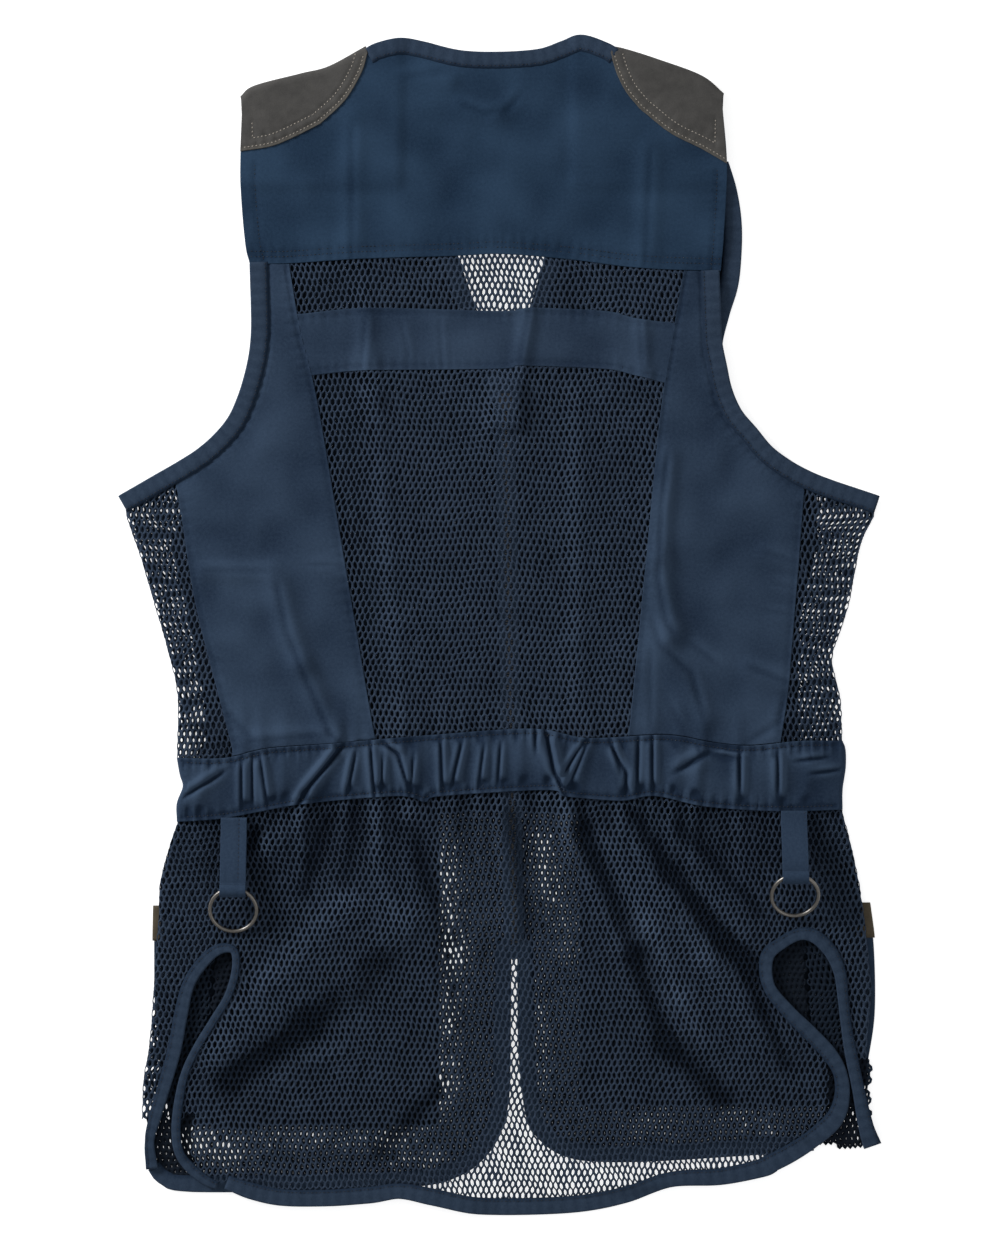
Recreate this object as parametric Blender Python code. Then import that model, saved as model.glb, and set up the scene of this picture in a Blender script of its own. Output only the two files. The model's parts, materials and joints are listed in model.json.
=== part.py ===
"""Shooting vest laid out flat, front side down and back side up.

X runs across the vest, +X to the right as one looks down on the back. Y runs up the
vest to the neck, and Z is the height over the table. Every length in the tables is in
millimetres, and solid() turns millimetres into Blender's metres. The front layer lies
on the table, the back layer lies on the front layer, and the side nets, the waistband
and the lower net turn round the two long side folds from one layer to the other.
"""

from math import cos, pi, radians, sin

import bmesh
import bpy
import numpy as np
from mathutils import Matrix, Vector

# Driving dimensions, millimetres
COTTON = 1.2
NET = 1.0
SUEDE = 1.2
SEAM = 0.3
TAPE = 12.0
TAPE_THICK = 2.4
LAYER_GAP = 0.4
POCKET_RISE = 1.5
FOLD_RADIUS = 3.0
RING_OUTER = 33.0
RING_WIRE = 2.6
STRAP_WALL = 1.3
EYE_RADIUS = 3.2
ZIP_WIDTH = 13.0
CHAIN_WIDTH = 5.0
CHAIN_BULGE = 0.6
ZIP_LIFT = 0.6
SLIDER_LOW = 3.4
SLIDER_THICK = 3.2
PULL_Z = 2.2
PULL_BAR = 1.0
PULL_WIDTH = 6.0
PULL_WINDOW = 3.4
PULL_LENGTH = 24.0
PULL_TILT = 3.0
BAIL_INNER = 1.1
BAIL_WALL = 0.8

NAVY = (0.020, 0.038, 0.068)
NET_NAVY = (0.014, 0.026, 0.046)
GREY_SUEDE = (0.060, 0.060, 0.060)
TAN = (0.120, 0.085, 0.050)
GUNMETAL = (0.080, 0.074, 0.068)
ZIP_GREY = (0.100, 0.100, 0.100)

# Where the front layer is held off the table: centre, half size, height
RISES = [
    # name, x, y, half_x, half_y, height
    ("left pocket", -133.0, -257.0, 107.0, 86.0, POCKET_RISE),
    ("right pocket", 150.0, -251.0, 104.0, 82.0, POCKET_RISE),
    ("left shoulder patch", -128.0, 352.0, 60.0, 62.0, POCKET_RISE),
    ("right shoulder patch", 112.0, 352.0, 60.0, 62.0, POCKET_RISE),
    ("zip slider", 4.0, 144.0, 7.0, 12.0, 4.2),
]
RISE_SOFTNESS = 9.0

# The largest folds of the back layer: two ends, half width and height
FOLDS = [
    # x0, y0, x1, y1, width, height
    (-88.0, 215.0, -82.0, 150.0, 7.0, 2.4),
    (-82.0, 150.0, -62.0, -72.0, 6.0, 2.2),
    (51.0, 150.0, 51.0, -72.0, 7.0, 2.6),
    (20.0, 208.0, 14.0, 168.0, 5.0, 2.8),
    (93.0, 200.0, 95.0, 162.0, 5.0, 1.8),
    (-24.0, 340.0, 0.0, 334.0, 7.0, 2.2),
    (-96.0, 330.0, -96.0, 240.0, 7.0, 1.4),
    (98.0, 311.0, 96.0, 240.0, 8.0, 1.6),
    (-60.0, 359.0, -32.0, 354.0, 6.0, 1.4),
    (-145.0, 26.0, -130.0, -26.0, 9.0, 3.0),
    (-130.0, -26.0, -109.0, -74.0, 8.0, 3.4),
    (-193.0, 35.0, -150.0, 34.0, 6.0, 1.6),
    (-162.0, -76.0, -116.0, -71.0, 6.0, 1.8),
    (110.0, 110.0, 104.0, 44.0, 7.0, 2.6),
    (104.0, 44.0, 114.0, -7.0, 8.0, 3.2),
    (105.0, -14.0, 134.0, -62.0, 9.0, 3.0),
    (164.0, -28.0, 189.0, -38.0, 7.0, 2.2),
    (174.0, 48.0, 195.0, 39.0, 6.0, 1.6),
    (38.0, -116.0, 84.0, -210.0, 9.0, 4.5),
    (84.0, -210.0, 117.0, -269.0, 10.0, 4.0),
    (84.0, -129.0, 136.0, -218.0, 10.0, 4.5),
    (136.0, -218.0, 188.0, -279.0, 9.0, 3.0),
    (109.0, -133.0, 174.0, -185.0, 9.0, 3.4),
    (-181.0, -283.0, -97.0, -235.0, 10.0, 3.6),
    (-97.0, -235.0, -60.0, -196.0, 9.0, 3.4),
    (-160.0, -302.0, -100.0, -275.0, 8.0, 2.0),
    (-49.0, -129.0, -35.0, -206.0, 9.0, 3.0),
    (-158.0, -150.0, -130.0, -129.0, 8.0, 2.6),
    (2.0, -122.0, 10.0, -200.0, 9.0, 2.6),
    (4.0, 160.0, 4.0, 130.0, 17.0, 3.6),
]

# Gathers of the waistband from left to right: where each ridge meets the two edges
GATHERS = [
    # top_x, bottom_x, height
    (-204.0, -206.0, 0.8),
    (-186.0, -198.0, 1.2),
    (-168.0, -168.0, 1.8),
    (-156.0, -151.0, 2.2),
    (-140.0, -142.0, 1.2),
    (-104.0, -130.0, 3.0),
    (-94.0, -100.0, 2.0),
    (-84.0, -81.0, 2.2),
    (-73.0, -78.0, 1.8),
    (-64.0, -60.0, 2.4),
    (-54.0, -56.0, 1.8),
    (-38.0, -37.0, 2.0),
    (-24.0, -31.0, 2.0),
    (-10.0, -13.0, 2.2),
    (1.0, 0.0, 1.6),
    (14.0, 14.0, 1.4),
    (27.0, 30.0, 1.8),
    (36.0, 43.0, 3.0),
    (58.0, 47.0, 2.4),
    (73.0, 80.0, 1.8),
    (84.0, 90.0, 2.0),
    (99.0, 99.0, 1.8),
    (118.0, 112.0, 1.6),
    (133.0, 126.0, 2.4),
    (156.0, 156.0, 1.6),
    (182.0, 182.0, 1.8),
    (206.0, 198.0, 1.2),
]
GATHER_WIDTH = 4.2
WAIST_PUFF = 3.2

# The right and left side of each outline, top to bottom, and the edges across
SIDE_FOLD = {
    "left": [(-244.5, 71.4), (-240, 58), (-235, 44), (-228, 20), (-219, -11), (-211, -45), (-211, -86.4)],
    "right": [(246, 71), (237, 51), (229, 12), (219, -19), (220, -32), (224, -50), (225, -74.6)],
}
BACK_SEAM = {
    "left": [(-211.3, 90.8), (-209, 80), (-199, 16), (-186, -36), (-174, -82)],
    "right": [(199.7, 87.2), (199, 80), (194, 16), (189, -43), (184, -76)],
}
NET_SEAM = {
    "left": [(-137, 234), (-130, 193), (-119, 147), (-101, 42), (-83, -63), (-80, -76)],
    "right": [(121, 232), (113, 186), (105, 134), (96, 42), (86, -60), (84, -73)],
}
ARMHOLE = {
    "left": [(-163, 231), (-162, 193), (-165, 169), (-172, 146), (-181, 130), (-198, 114), (-223, 99), (-249, 84)],
    "right": [(144, 230), (146, 183), (149, 169), (155, 146), (167, 130), (181, 114), (206, 99), (249, 84)],
}
FRONT_ARMHOLE = {
    "left": [(-158, 302), (-159, 260), (-158, 200), (-161, 169), (-169, 143), (-180, 127), (-222, 98), (-241, 87)],
    "right": [(150, 303), (157, 278), (159, 252), (156, 219), (148, 183), (153, 146), (179, 113), (241, 87)],
}
WAIST_TOP = [(-211, -87), (-179, -87), (-152, -81), (-114, -78), (-43, -72), (22, -68), (58, -74),
             (109, -72), (140, -77), (164, -79), (196, -76), (225, -76)]
WAIST_BOTTOM = [(-211, -129), (-182, -127), (-160, -123), (-126, -117), (-66, -112), (-48, -116), (-38, -112),
                (32, -108), (43, -112), (79, -115), (102, -112), (136, -119), (183, -122), (225, -121)]
WAIST_SIDE = {
    "left": [(-211, -87), (-209, -98), (-207, -106), (-211, -117), (-211, -129)],
    "right": [(225, -76), (227, -82), (227, -94), (225, -108), (225, -121)],
}
LOW_FOLD = {
    "left": [(-211, -130), (-216, -145), (-222, -168), (-223, -190), (-225, -217)],
    "right": [(225, -122), (231, -145), (236, -169), (240, -197), (243, -226)],
}
STRIP_FOLD = {
    "left": [(-225, -217), (-228, -262), (-230, -280), (-233, -298), (-234, -321)],
    "right": [(243, -226), (244, -240), (242, -264), (240.5, -283)],
}
WAIST_STEPS = 30
VENT_GAP = 1.2
FRONT_SEAM = {
    "left": [(-210, 84), (-196, 35), (-184, -15), (-177.5, -60), (-177.5, -110), (-180, -145), (-188, -190), (-197, -322)],
    "right": [(211, 82), (198.5, 40), (191, 5), (188.5, -30), (189, -75), (191, -125), (203, -185), (207, -290)],
}
HIDDEN_SEAM = 0.6
YOKE_FRONT = {"left": [(-166, 304), (-74, 336)], "right": [(145, 306), (72.5, 336)]}
FRONT_NECK = {"left": [(-79, 372), (-2.7, 155.5)], "right": [(76.5, 373), (10.0, 155.5)]}
BAND_TOP = [(-130, 203), (-84, 207), (1, 205), (22, 207), (69, 205), (90, 200), (115, 197)]
BAND_BOTTOM = [(-122, 163), (-86, 166), (1, 167), (15, 169), (69, 167), (88, 163), (108, 158)]
YOKE_BOTTOM = [(-163, 236), (-138, 236), (-89, 239), (-26, 241), (1, 242), (43, 239), (92, 233), (145, 231)]
YOKE_LEFT = [(-163, 236), (-166, 250), (-169, 290), (-169, 340)]
YOKE_RIGHT = [(145, 231), (147, 255), (149, 300), (147, 341)]
SHOULDER = {
    "left": [(-169, 345), (-160, 352), (-130, 360), (-111, 365), (-87, 378)],
    "right": [(74, 378), (83, 376), (102, 370), (132, 359), (147, 347)],
}
NECK_TAPE_WIDTH = 11.0
NECK_TAPE = [(-78, 375), (-64, 378), (-51, 376), (-26, 370), (1, 369), (27, 371), (43, 376.5), (54, 380), (69, 375)]
PATCH_BOTTOM = {
    "left": [(-169, 309), (-150, 312), (-137, 317), (-117, 327)],
    "right": [(92, 337), (112, 321), (132, 311), (149, 301)],
}
PATCH_INNER = {
    "left": [(-117, 327), (-101, 342), (-90, 360), (-86, 372)],
    "right": [(92, 337), (83, 348), (77, 360), (74, 372)],
}

# Tapes along the vents, the hems and the front edges: centre line and width
VENT_TAPE = {
    "left": [
        # x, y, width
        (-227, -356, 8), (-228.5, -338, 6), (-225, -322, 8), (-213, -281, 9), (-208, -255, 9),
        (-203, -235, 8), (-194, -221, 8), (-183, -212, 7), (-173, -213, 5), (-172, -226, 5),
        (-177, -243, 5), (-186, -258, 5), (-197, -276, 5), (-205, -293, 5), (-209, -311, 6),
        (-211, -330, 6), (-209, -345, 6), (-202, -355, 7), (-192, -363, 6), (-184, -367, 5),
    ],
    "right": [
        (244.4, -341, 12), (240, -328, 10), (235, -304, 8), (230, -280, 8), (227, -262, 7),
        (225, -245, 7), (223, -228, 8), (217, -214, 9), (207, -204, 9), (197, -202, 8),
        (186, -207, 8), (175, -217, 9), (176, -236, 8), (188, -252, 9), (203, -267, 10),
        (216, -281, 10), (223, -294, 9), (224, -309, 10), (219, -323, 12), (205, -336, 12),
        (190, -346, 12), (174, -354, 12),
    ],
}
HEM_TAPE = [
    # x, y, width
    (-178, -364.5, 9), (-163, -370, 11), (-143, -374.5, 11), (-114, -375, 11), (-84, -373, 11), (-65, -370.5, 10),
    (-45, -374, 11), (-16, -380, 11), (14, -381, 11), (53, -379, 11), (83, -373, 11),
    (112, -363, 10), (145, -361, 11), (172, -355.2, 12),
]
FRONT_HEM_TAPE = {
    "left": [
        (-221, -361, 9), (-200, -366, 11), (-100, -365, 11), (-50, -362, 11), (-28, -356, 11), (-14, -346, 11),
        (-4, -331, 11), (1, -310, 11), (2, -280, 11), (3, -216, 10),
    ],
    "right": [
        (206, -340, 9), (180, -341, 11), (100, -346, 11), (62, -346, 11), (45, -343, 11), (33, -336, 11),
        (24, -324, 11), (20, -300, 11), (18, -270, 11), (17, -216, 10),
    ],
}
VENT_CORNERS = {"left": [(-201, -219.5), (-168, -216)], "right": [(228, -226), (169.5, -219)]}
VENT_FOOT = {"left": (-190.5, -359.5), "right": (187, -340.5)}
FRONT_CORNER = {"left": (-20, -344), "right": (38, -331)}
FRONT_FOOT = {"left": (-229.5, -352), "right": (243, -344)}
ZIP_TOP = (4.0, 146.0)
ZIP_END = (10.0, -210.0)
WAIST_Y = -98.0
WAIST_CUT = -124.0
POCKET_TOP = -187.0
POCKET = {
    "left": {"outer": -226.0, "inner": -39.0, "top": -184.0, "bottom": -329.0, "low_outer": -215.0},
    "right": {"outer": 247.0, "inner": 53.0, "top": -182.0, "bottom": -316.0, "low_outer": 238.0},
}
TRIM_HEIGHT = 23.0
TRIM_WIDTH = 16.0

# Straps and rings: place of the strap's seam, width, place of its eye and the ring's tilt
STRAPS = {
    "left": {"x": -173.0, "top": -128.6, "width": 17.0, "eye_y": -173.0, "tilt": 21.0},
    "right": {"x": 192.5, "top": -124.2, "width": 17.0, "eye_y": -164.0, "tilt": 27.0},
}
SIDES = {"left": -1.0, "right": 1.0}
# Section of a binding, share of its width and how far its face is let down
SOFT_TAPE = ((0.5, 0.7), (0.34, 0.0), (-0.34, 0.0), (-0.5, 0.7))
PLAIN_TAPE = ((0.5, 0.0), (-0.5, 0.0))


def smooth(edge0, edge1, value):
    """Soft step from 0 at edge0 to 1 at edge1."""
    t = np.clip((np.asarray(value, float) - edge0) / (edge1 - edge0), 0.0, 1.0)
    return t * t * (3.0 - 2.0 * t)


def front_face(x, y):
    """Height of the front layer's outer face, which looks down at the table."""
    height = np.zeros(np.broadcast(x, y).shape)
    for _, cx, cy, half_x, half_y, rise in RISES:
        away_x = smooth(half_x + RISE_SOFTNESS, half_x, np.abs(x - cx))
        away_y = smooth(half_y + RISE_SOFTNESS, half_y, np.abs(y - cy))
        height = np.maximum(height, rise * away_x * away_y)
    return height


def fold_lift(x, y):
    """What the largest folds add to the back layer."""
    lift = np.zeros(np.broadcast(x, y).shape)
    for x0, y0, x1, y1, width, height in FOLDS:
        run = np.array([x1 - x0, y1 - y0])
        along = ((x - x0) * run[0] + (y - y0) * run[1]) / (run @ run)
        held = np.clip(along, 0.0, 1.0)
        away = np.hypot(x - x0 - held * run[0], y - y0 - held * run[1])
        lift = lift + height * np.exp(-((away / width) ** 2))
    return lift


def gather_lift(x, y):
    """Ridges of the waistband and the folds that run from it into the net below."""
    down = (y - WAIST_Y) / 26.0
    lift = np.zeros(np.broadcast(x, y).shape)
    for top_x, bottom_x, height in GATHERS:
        middle = 0.5 * (top_x + bottom_x) + 0.5 * (top_x - bottom_x) * np.clip(down, -1.0, 1.0)
        lift = lift + height * np.exp(-(((x - middle) / GATHER_WIDTH) ** 2))
    below = smooth(-190.0, -112.0, y)
    above = smooth(-40.0, -84.0, y)
    return lift * below * above


def back_face(x, y):
    """Height of the back layer's under face."""
    over_front = front_face(x, y) + TAPE_THICK + LAYER_GAP
    puff = 1.2 * smooth(-350.0, -250.0, y) * smooth(360.0, 250.0, y)
    waist = WAIST_PUFF * np.exp(-(((y - WAIST_Y) / 26.0) ** 2))
    inner = smooth(240.0, 205.0, x) * smooth(-228.0, -195.0, x)
    lift = (puff + waist + fold_lift(x, y) + gather_lift(x, y)) * inner
    past_front = smooth(-364.0, -376.0, y) * smooth(-22.0, 0.0, x) * smooth(150.0, 120.0, x)
    return (over_front + lift) * (1.0 - past_front)


def spline(points, count, ends=(0.0, 1.0)):
    """Points at equal steps along a smooth curve through the given ones."""
    knots = np.array([p[:2] for p in points], float)
    before = 2.0 * knots[0] - knots[1]
    after = 2.0 * knots[-1] - knots[-2]
    row = np.vstack([before, knots, after])
    t = np.linspace(0.0, 1.0, 16, endpoint=False)[:, None]
    fine = []
    for a, b, c, d in zip(row, row[1:], row[2:], row[3:]):
        fine.append(0.5 * (2 * b + (c - a) * t + (2 * a - 5 * b + 4 * c - d) * t**2
                           + (3 * b - a - 3 * c + d) * t**3))
    fine = np.vstack(fine + [knots[-1:]])
    steps = np.concatenate([[0.0], np.cumsum(np.hypot(*np.diff(fine, axis=0).T))])
    where = np.linspace(ends[0], ends[1], count) * steps[-1]
    return np.column_stack([np.interp(where, steps, fine[:, k]) for k in range(2)])


def moved(points, dx, dy):
    """A curve's points, moved sideways in the plane."""
    return np.asarray(points, float)[:, :2] + np.array([dx, dy])


def line(start, end, count):
    """Points at equal steps on a straight line."""
    t = np.linspace(0.0, 1.0, count)[:, None]
    return np.array(start, float) * (1 - t) + np.array(end, float) * t


def patch(bottom, top, left, right):
    """Grid of points inside four edges: bottom and top run to +X, left and right run up."""
    u = np.linspace(0.0, 1.0, len(bottom))[None, :, None]
    v = np.linspace(0.0, 1.0, len(left))[:, None, None]
    across = (1 - v) * bottom[None] + v * top[None]
    along = (1 - u) * left[:, None] + u * right[:, None]
    corners = ((1 - u) * (1 - v) * bottom[0] + u * (1 - v) * bottom[-1]
               + (1 - u) * v * top[0] + u * v * top[-1])
    return across + along - corners


def on_back(grid, wall, above=0.0):
    """Outer and inner points of cloth in the back layer, above mm higher than a panel."""
    x, y = grid[..., 0], grid[..., 1]
    under = back_face(x, y) + above
    return np.dstack([x, y, under + wall]), np.dstack([x, y, under])


def on_front(grid, wall, below=0.0):
    """Outer and inner points of cloth in the front layer; its outer face looks down."""
    x, y = grid[..., 0], grid[..., 1]
    face = front_face(x, y) - below
    return np.dstack([x, y, face + wall]), np.dstack([x, y, face])


def wrap(back, fold, front, wall, extra=0.0, columns=(2, 5, 3)):
    """Cloth that turns round a fold, from the back layer down to the front layer.

    back, fold and front are three curves with as many points. The section through each
    trio of points is flat on the back, half round at the fold and flat on the front.
    """
    radius = FOLD_RADIUS + extra
    to_back = back - fold
    to_front = front - fold
    back_length = np.linalg.norm(to_back, axis=1, keepdims=True)
    front_length = np.linalg.norm(to_front, axis=1, keepdims=True)
    to_back = to_back / back_length
    to_front = to_front / front_length
    outer = []
    inner = []
    top_start = fold + to_back * radius
    low_start = fold + to_front * radius

    def add(xy, z_outer, inner_xy, z_inner):
        outer.append(np.column_stack([xy, z_outer]))
        inner.append(np.column_stack([inner_xy, z_inner]))

    for t in np.linspace(0.0, 1.0, columns[0] + 1):
        xy = back * (1 - t) + top_start * t
        under = back_face(xy[:, 0], xy[:, 1]) + extra
        add(xy, under + wall, xy, under)
    high = back_face(top_start[:, 0], top_start[:, 1]) + extra + wall
    low = front_face(low_start[:, 0], low_start[:, 1]) - extra
    middle = 0.5 * (high + low)
    half = 0.5 * (high - low)
    for turn in np.linspace(0.0, pi, columns[1] + 2)[1:-1]:
        way = to_back * (1 + cos(turn)) / 2 + to_front * (1 - cos(turn)) / 2
        xy = fold + way * radius * (1 - sin(turn))
        inner_xy = fold + way * (radius - (radius - wall) * sin(turn))
        add(xy, middle + half * cos(turn), inner_xy, middle + (half - wall) * cos(turn))
    for t in np.linspace(0.0, 1.0, columns[2] + 1):
        xy = low_start * (1 - t) + front * t
        face = front_face(xy[:, 0], xy[:, 1]) - extra
        add(xy, face, xy, face + wall)
    return np.stack(outer, axis=1), np.stack(inner, axis=1)


def tape_line(rows, count, ends=(0.0, 1.0)):
    """Centre line, width and left hand direction of a tape given by rows x, y, width."""
    centre = spline(rows, count, ends)
    fine = spline(rows, 16 * len(rows))
    steps = np.concatenate([[0.0], np.cumsum(np.hypot(*np.diff(fine, axis=0).T))])
    row_steps = [steps[np.argmin(np.hypot(*(fine - np.array(row[:2])).T))] for row in rows]
    where = np.linspace(ends[0], ends[1], count) * steps[-1]
    width = np.interp(where, row_steps, [row[2] for row in rows])[:, None]
    way = np.gradient(centre, axis=0)
    way = way / np.linalg.norm(way, axis=1, keepdims=True)
    return centre, width, np.column_stack([-way[:, 1], way[:, 0]])


def tape_border(rows, hand, gap, count=160):
    """Edge of a tape on its left hand (+1) or right hand (-1), gap mm outside it."""
    centre, width, left = tape_line(rows, count)
    return centre + left * hand * (width / 2 + gap)


def tape(rows, count, height, section=SOFT_TAPE):
    """Folded binding tape with soft edges along a centre line of rows x, y, width."""
    centre, width, left = tape_line(rows, count)
    outer = []
    inner = []
    for across, inset in section:
        xy = centre + left * width * across
        base = height(xy[:, 0], xy[:, 1])
        outer.append(np.column_stack([xy, base + TAPE_THICK - inset]))
        inner.append(np.column_stack([xy, base + inset * 0.4]))
    return np.stack(outer, axis=1), np.stack(inner, axis=1)


def resample(points, count):
    """As many points as asked, at equal steps along a line of many."""
    points = np.asarray(points, float)
    steps = np.concatenate([[0.0], np.cumsum(np.hypot(*np.diff(points, axis=0).T))])
    where = np.linspace(0.0, steps[-1], count)
    return np.column_stack([np.interp(where, steps, points[:, k]) for k in range(2)])


def nearest(points, place):
    """Index of the point of a line that is nearest to a place."""
    return int(np.argmin(np.hypot(*(points - np.array(place, float)).T)))


def cloth(name, sheets, colour, roughness=0.9, metallic=0.0):
    """One closed solid from sheets of outer and inner points, welded where they meet."""
    places = {}
    outer_points = []
    inner_points = []
    quads = []
    for outer, inner in sheets:
        rows, columns = outer.shape[:2]
        index = np.zeros((rows, columns), int)
        for r in range(rows):
            for c in range(columns):
                key = tuple(np.round(outer[r, c], 3))
                if key not in places:
                    places[key] = len(outer_points)
                    outer_points.append(outer[r, c])
                    inner_points.append(inner[r, c])
                index[r, c] = places[key]
        for r in range(rows - 1):
            for c in range(columns - 1):
                quads.append((index[r, c], index[r, c + 1], index[r + 1, c + 1], index[r + 1, c]))
    count = len(outer_points)
    used = {}
    for quad in quads:
        for a, b in zip(quad, quad[1:] + quad[:1]):
            edge = (min(a, b), max(a, b))
            used[edge] = used.get(edge, 0) + 1
    faces = list(quads)
    faces += [tuple(count + i for i in reversed(quad)) for quad in quads]
    faces += [(b, a, count + a, count + b) for (a, b), times in used.items() if times == 1]
    return solid(name, np.array(outer_points + inner_points), faces, colour, roughness, metallic)


def solid(name, points, faces, colour, roughness=0.9, metallic=0.0):
    """Object from points in millimetres, with its faces turned outwards."""
    mesh = bpy.data.meshes.new(name)
    mesh.from_pydata((np.asarray(points) * 0.001).tolist(), [], [list(map(int, f)) for f in faces])
    form = bmesh.new()
    form.from_mesh(mesh)
    bmesh.ops.recalc_face_normals(form, faces=form.faces)
    if form.calc_volume(signed=True) < 0.0:
        bmesh.ops.reverse_faces(form, faces=form.faces)
    form.to_mesh(mesh)
    form.free()
    mesh.shade_smooth()
    mesh.set_sharp_from_angle(angle=radians(50.0))
    material = bpy.data.materials.new(name)
    material.use_nodes = True
    shader = material.node_tree.nodes["Principled BSDF"]
    shader.inputs["Base Color"].default_value = (*colour, 1.0)
    shader.inputs["Roughness"].default_value = roughness
    shader.inputs["Metallic"].default_value = metallic
    mesh.materials.append(material)
    thing = bpy.data.objects.new(name, mesh)
    bpy.context.collection.objects.link(thing)
    return thing


def box_points(low, high):
    """Corners and faces of a plain box."""
    points = [(x, y, z) for x in (low[0], high[0]) for y in (low[1], high[1]) for z in (low[2], high[2])]
    faces = [(0, 1, 3, 2), (4, 6, 7, 5), (0, 4, 5, 1), (2, 3, 7, 6), (0, 2, 6, 4), (1, 5, 7, 3)]
    return points, faces


def back_yoke():
    """Yoke of the back, which turns over both shoulders to the front."""
    shoulder = {"left": spline(SHOULDER["left"], 6), "right": spline(SHOULDER["right"], 6, (0.14, 1.0))}
    inset = FOLD_RADIUS + SUEDE + HIDDEN_SEAM
    near = {side: moved(shoulder[side], SIDES[side] * -1.2, -inset) for side in SIDES}
    fold = {side: moved(shoulder[side], SIDES[side] * -0.8, -(SUEDE + HIDDEN_SEAM)) for side in SIDES}
    low = {}
    for side in SIDES:
        ends = YOKE_FRONT[side] if side == "left" else YOKE_FRONT[side][::-1]
        low[side] = line(ends[0], ends[1], 6)
    neck = tape_edge(NECK_TAPE, -(NECK_TAPE_WIDTH / 2 + HIDDEN_SEAM), 11)
    top = np.vstack([near["left"], neck, near["right"]])
    bottom = spline(YOKE_BOTTOM, len(top))
    left = spline(YOKE_LEFT[:-1] + [tuple(top[0])], 7)
    right = spline(YOKE_RIGHT[:-1] + [tuple(top[-1])], 7)
    sheets = [on_back(patch(bottom, top, left, right), COTTON)]
    for side in SIDES:
        sheets.append(wrap(near[side], fold[side], low[side], COTTON, columns=(1, 4, 3)))
    cloth("back_yoke", sheets, NAVY)


def shoulder_patch(side):
    """Suede patch on the yoke, carried over the shoulder to the front."""
    extra = SUEDE + SEAM
    shoulder = spline(SHOULDER[side], 8)
    near = moved(shoulder, SIDES[side] * -1.2, -(FOLD_RADIUS + extra))
    low = moved(shoulder, SIDES[side] * -2.0, -44.0)
    bottom = spline(PATCH_BOTTOM[side], 8)
    outer, inner = (0, -1) if side == "left" else (-1, 0)
    outer_edge = line(bottom[outer], near[outer], 6)
    inner_edge = spline(PATCH_INNER[side][:-1] + [tuple(near[inner])], 6)
    left_edge, right_edge = (outer_edge, inner_edge) if side == "left" else (inner_edge, outer_edge)
    grid = patch(bottom, near, left_edge, right_edge)
    sheets = [on_back(grid, SUEDE, COTTON + SEAM), wrap(near, shoulder, low, SUEDE, extra, (1, 4, 3))]
    cloth("shoulder_patch_" + side, sheets, GREY_SUEDE, 0.95)


def panel(name, bottom, top, left, right, wall, colour):
    """Plain panel of the back layer."""
    cloth(name, [on_back(patch(bottom, top, left, right), wall)], colour)


def between(curve, low, high, count):
    """The stretch of a falling side curve from the height low up to the height high."""
    fine = spline(curve, 200)[::-1]
    y = np.linspace(low, high, count)
    return np.column_stack([np.interp(y, fine[:, 1], fine[:, 0]), y])


def front_seam(side, y, gap=0.0):
    """Points of the hidden seam where the side's cloth meets the front."""
    knots = np.array(FRONT_SEAM[side][::-1], float)
    y = np.atleast_1d(np.asarray(y, float))
    return np.column_stack([np.interp(y, knots[:, 1], knots[:, 0]) - SIDES[side] * gap, y])


def zip_x(y):
    """X of the zip's middle at a height y."""
    share = (ZIP_TOP[1] - y) / (ZIP_TOP[1] - ZIP_END[1])
    return ZIP_TOP[0] + (ZIP_END[0] - ZIP_TOP[0]) * share


def back_middle():
    """Upper net, cotton band and large net between the two side panels."""
    shift = 0.45
    left = {"x": shift, "curve": NET_SEAM["left"]}
    right = {"x": -shift, "curve": NET_SEAM["right"]}

    def sides(low, high, count):
        edges = []
        for seam, (low_y, high_y) in ((left, (low[0], high[0])), (right, (low[1], high[1]))):
            edges.append(between(seam["curve"], low_y, high_y, count) + [seam["x"], 0.0])
        return edges

    yoke_edge = spline(YOKE_BOTTOM, 60)
    yoke_at = lambda x: np.interp(x, yoke_edge[:, 0], yoke_edge[:, 1])
    band_top = spline(BAND_TOP, 17)
    band_bottom = spline(BAND_BOTTOM, 17)

    l, r = sides((band_top[0, 1] + SEAM, band_top[-1, 1] + SEAM), (235.5, 231.0), 4)
    top = line(l[-1], r[-1], 17)
    top[:, 1] = yoke_at(top[:, 0]) - SEAM
    bottom = moved(band_top, 0.0, SEAM)
    l[0], r[0] = bottom[0], bottom[-1]
    l[-1], r[-1] = top[0], top[-1]
    panel("back_upper_net", bottom, top, l, r, NET, NET_NAVY)

    l = line(band_bottom[0], band_top[0], 4)
    r = line(band_bottom[-1], band_top[-1], 4)
    panel("back_band", band_bottom, band_top, l, r, COTTON, NAVY)

    l, r = sides((-75.0, -72.0), (163.0, 158.0), 13)
    bottom = line(l[0], r[0], 17)
    edge = spline(WAIST_TOP, 80)
    bottom[:, 1] = np.interp(bottom[:, 0], edge[:, 0], edge[:, 1]) + SEAM
    top = moved(band_bottom, 0.0, -SEAM)
    l[0], r[0] = bottom[0], bottom[-1]
    l[-1], r[-1] = top[0], top[-1]
    panel("back_center_net", bottom, top, l, r, NET, NET_NAVY)


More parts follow.
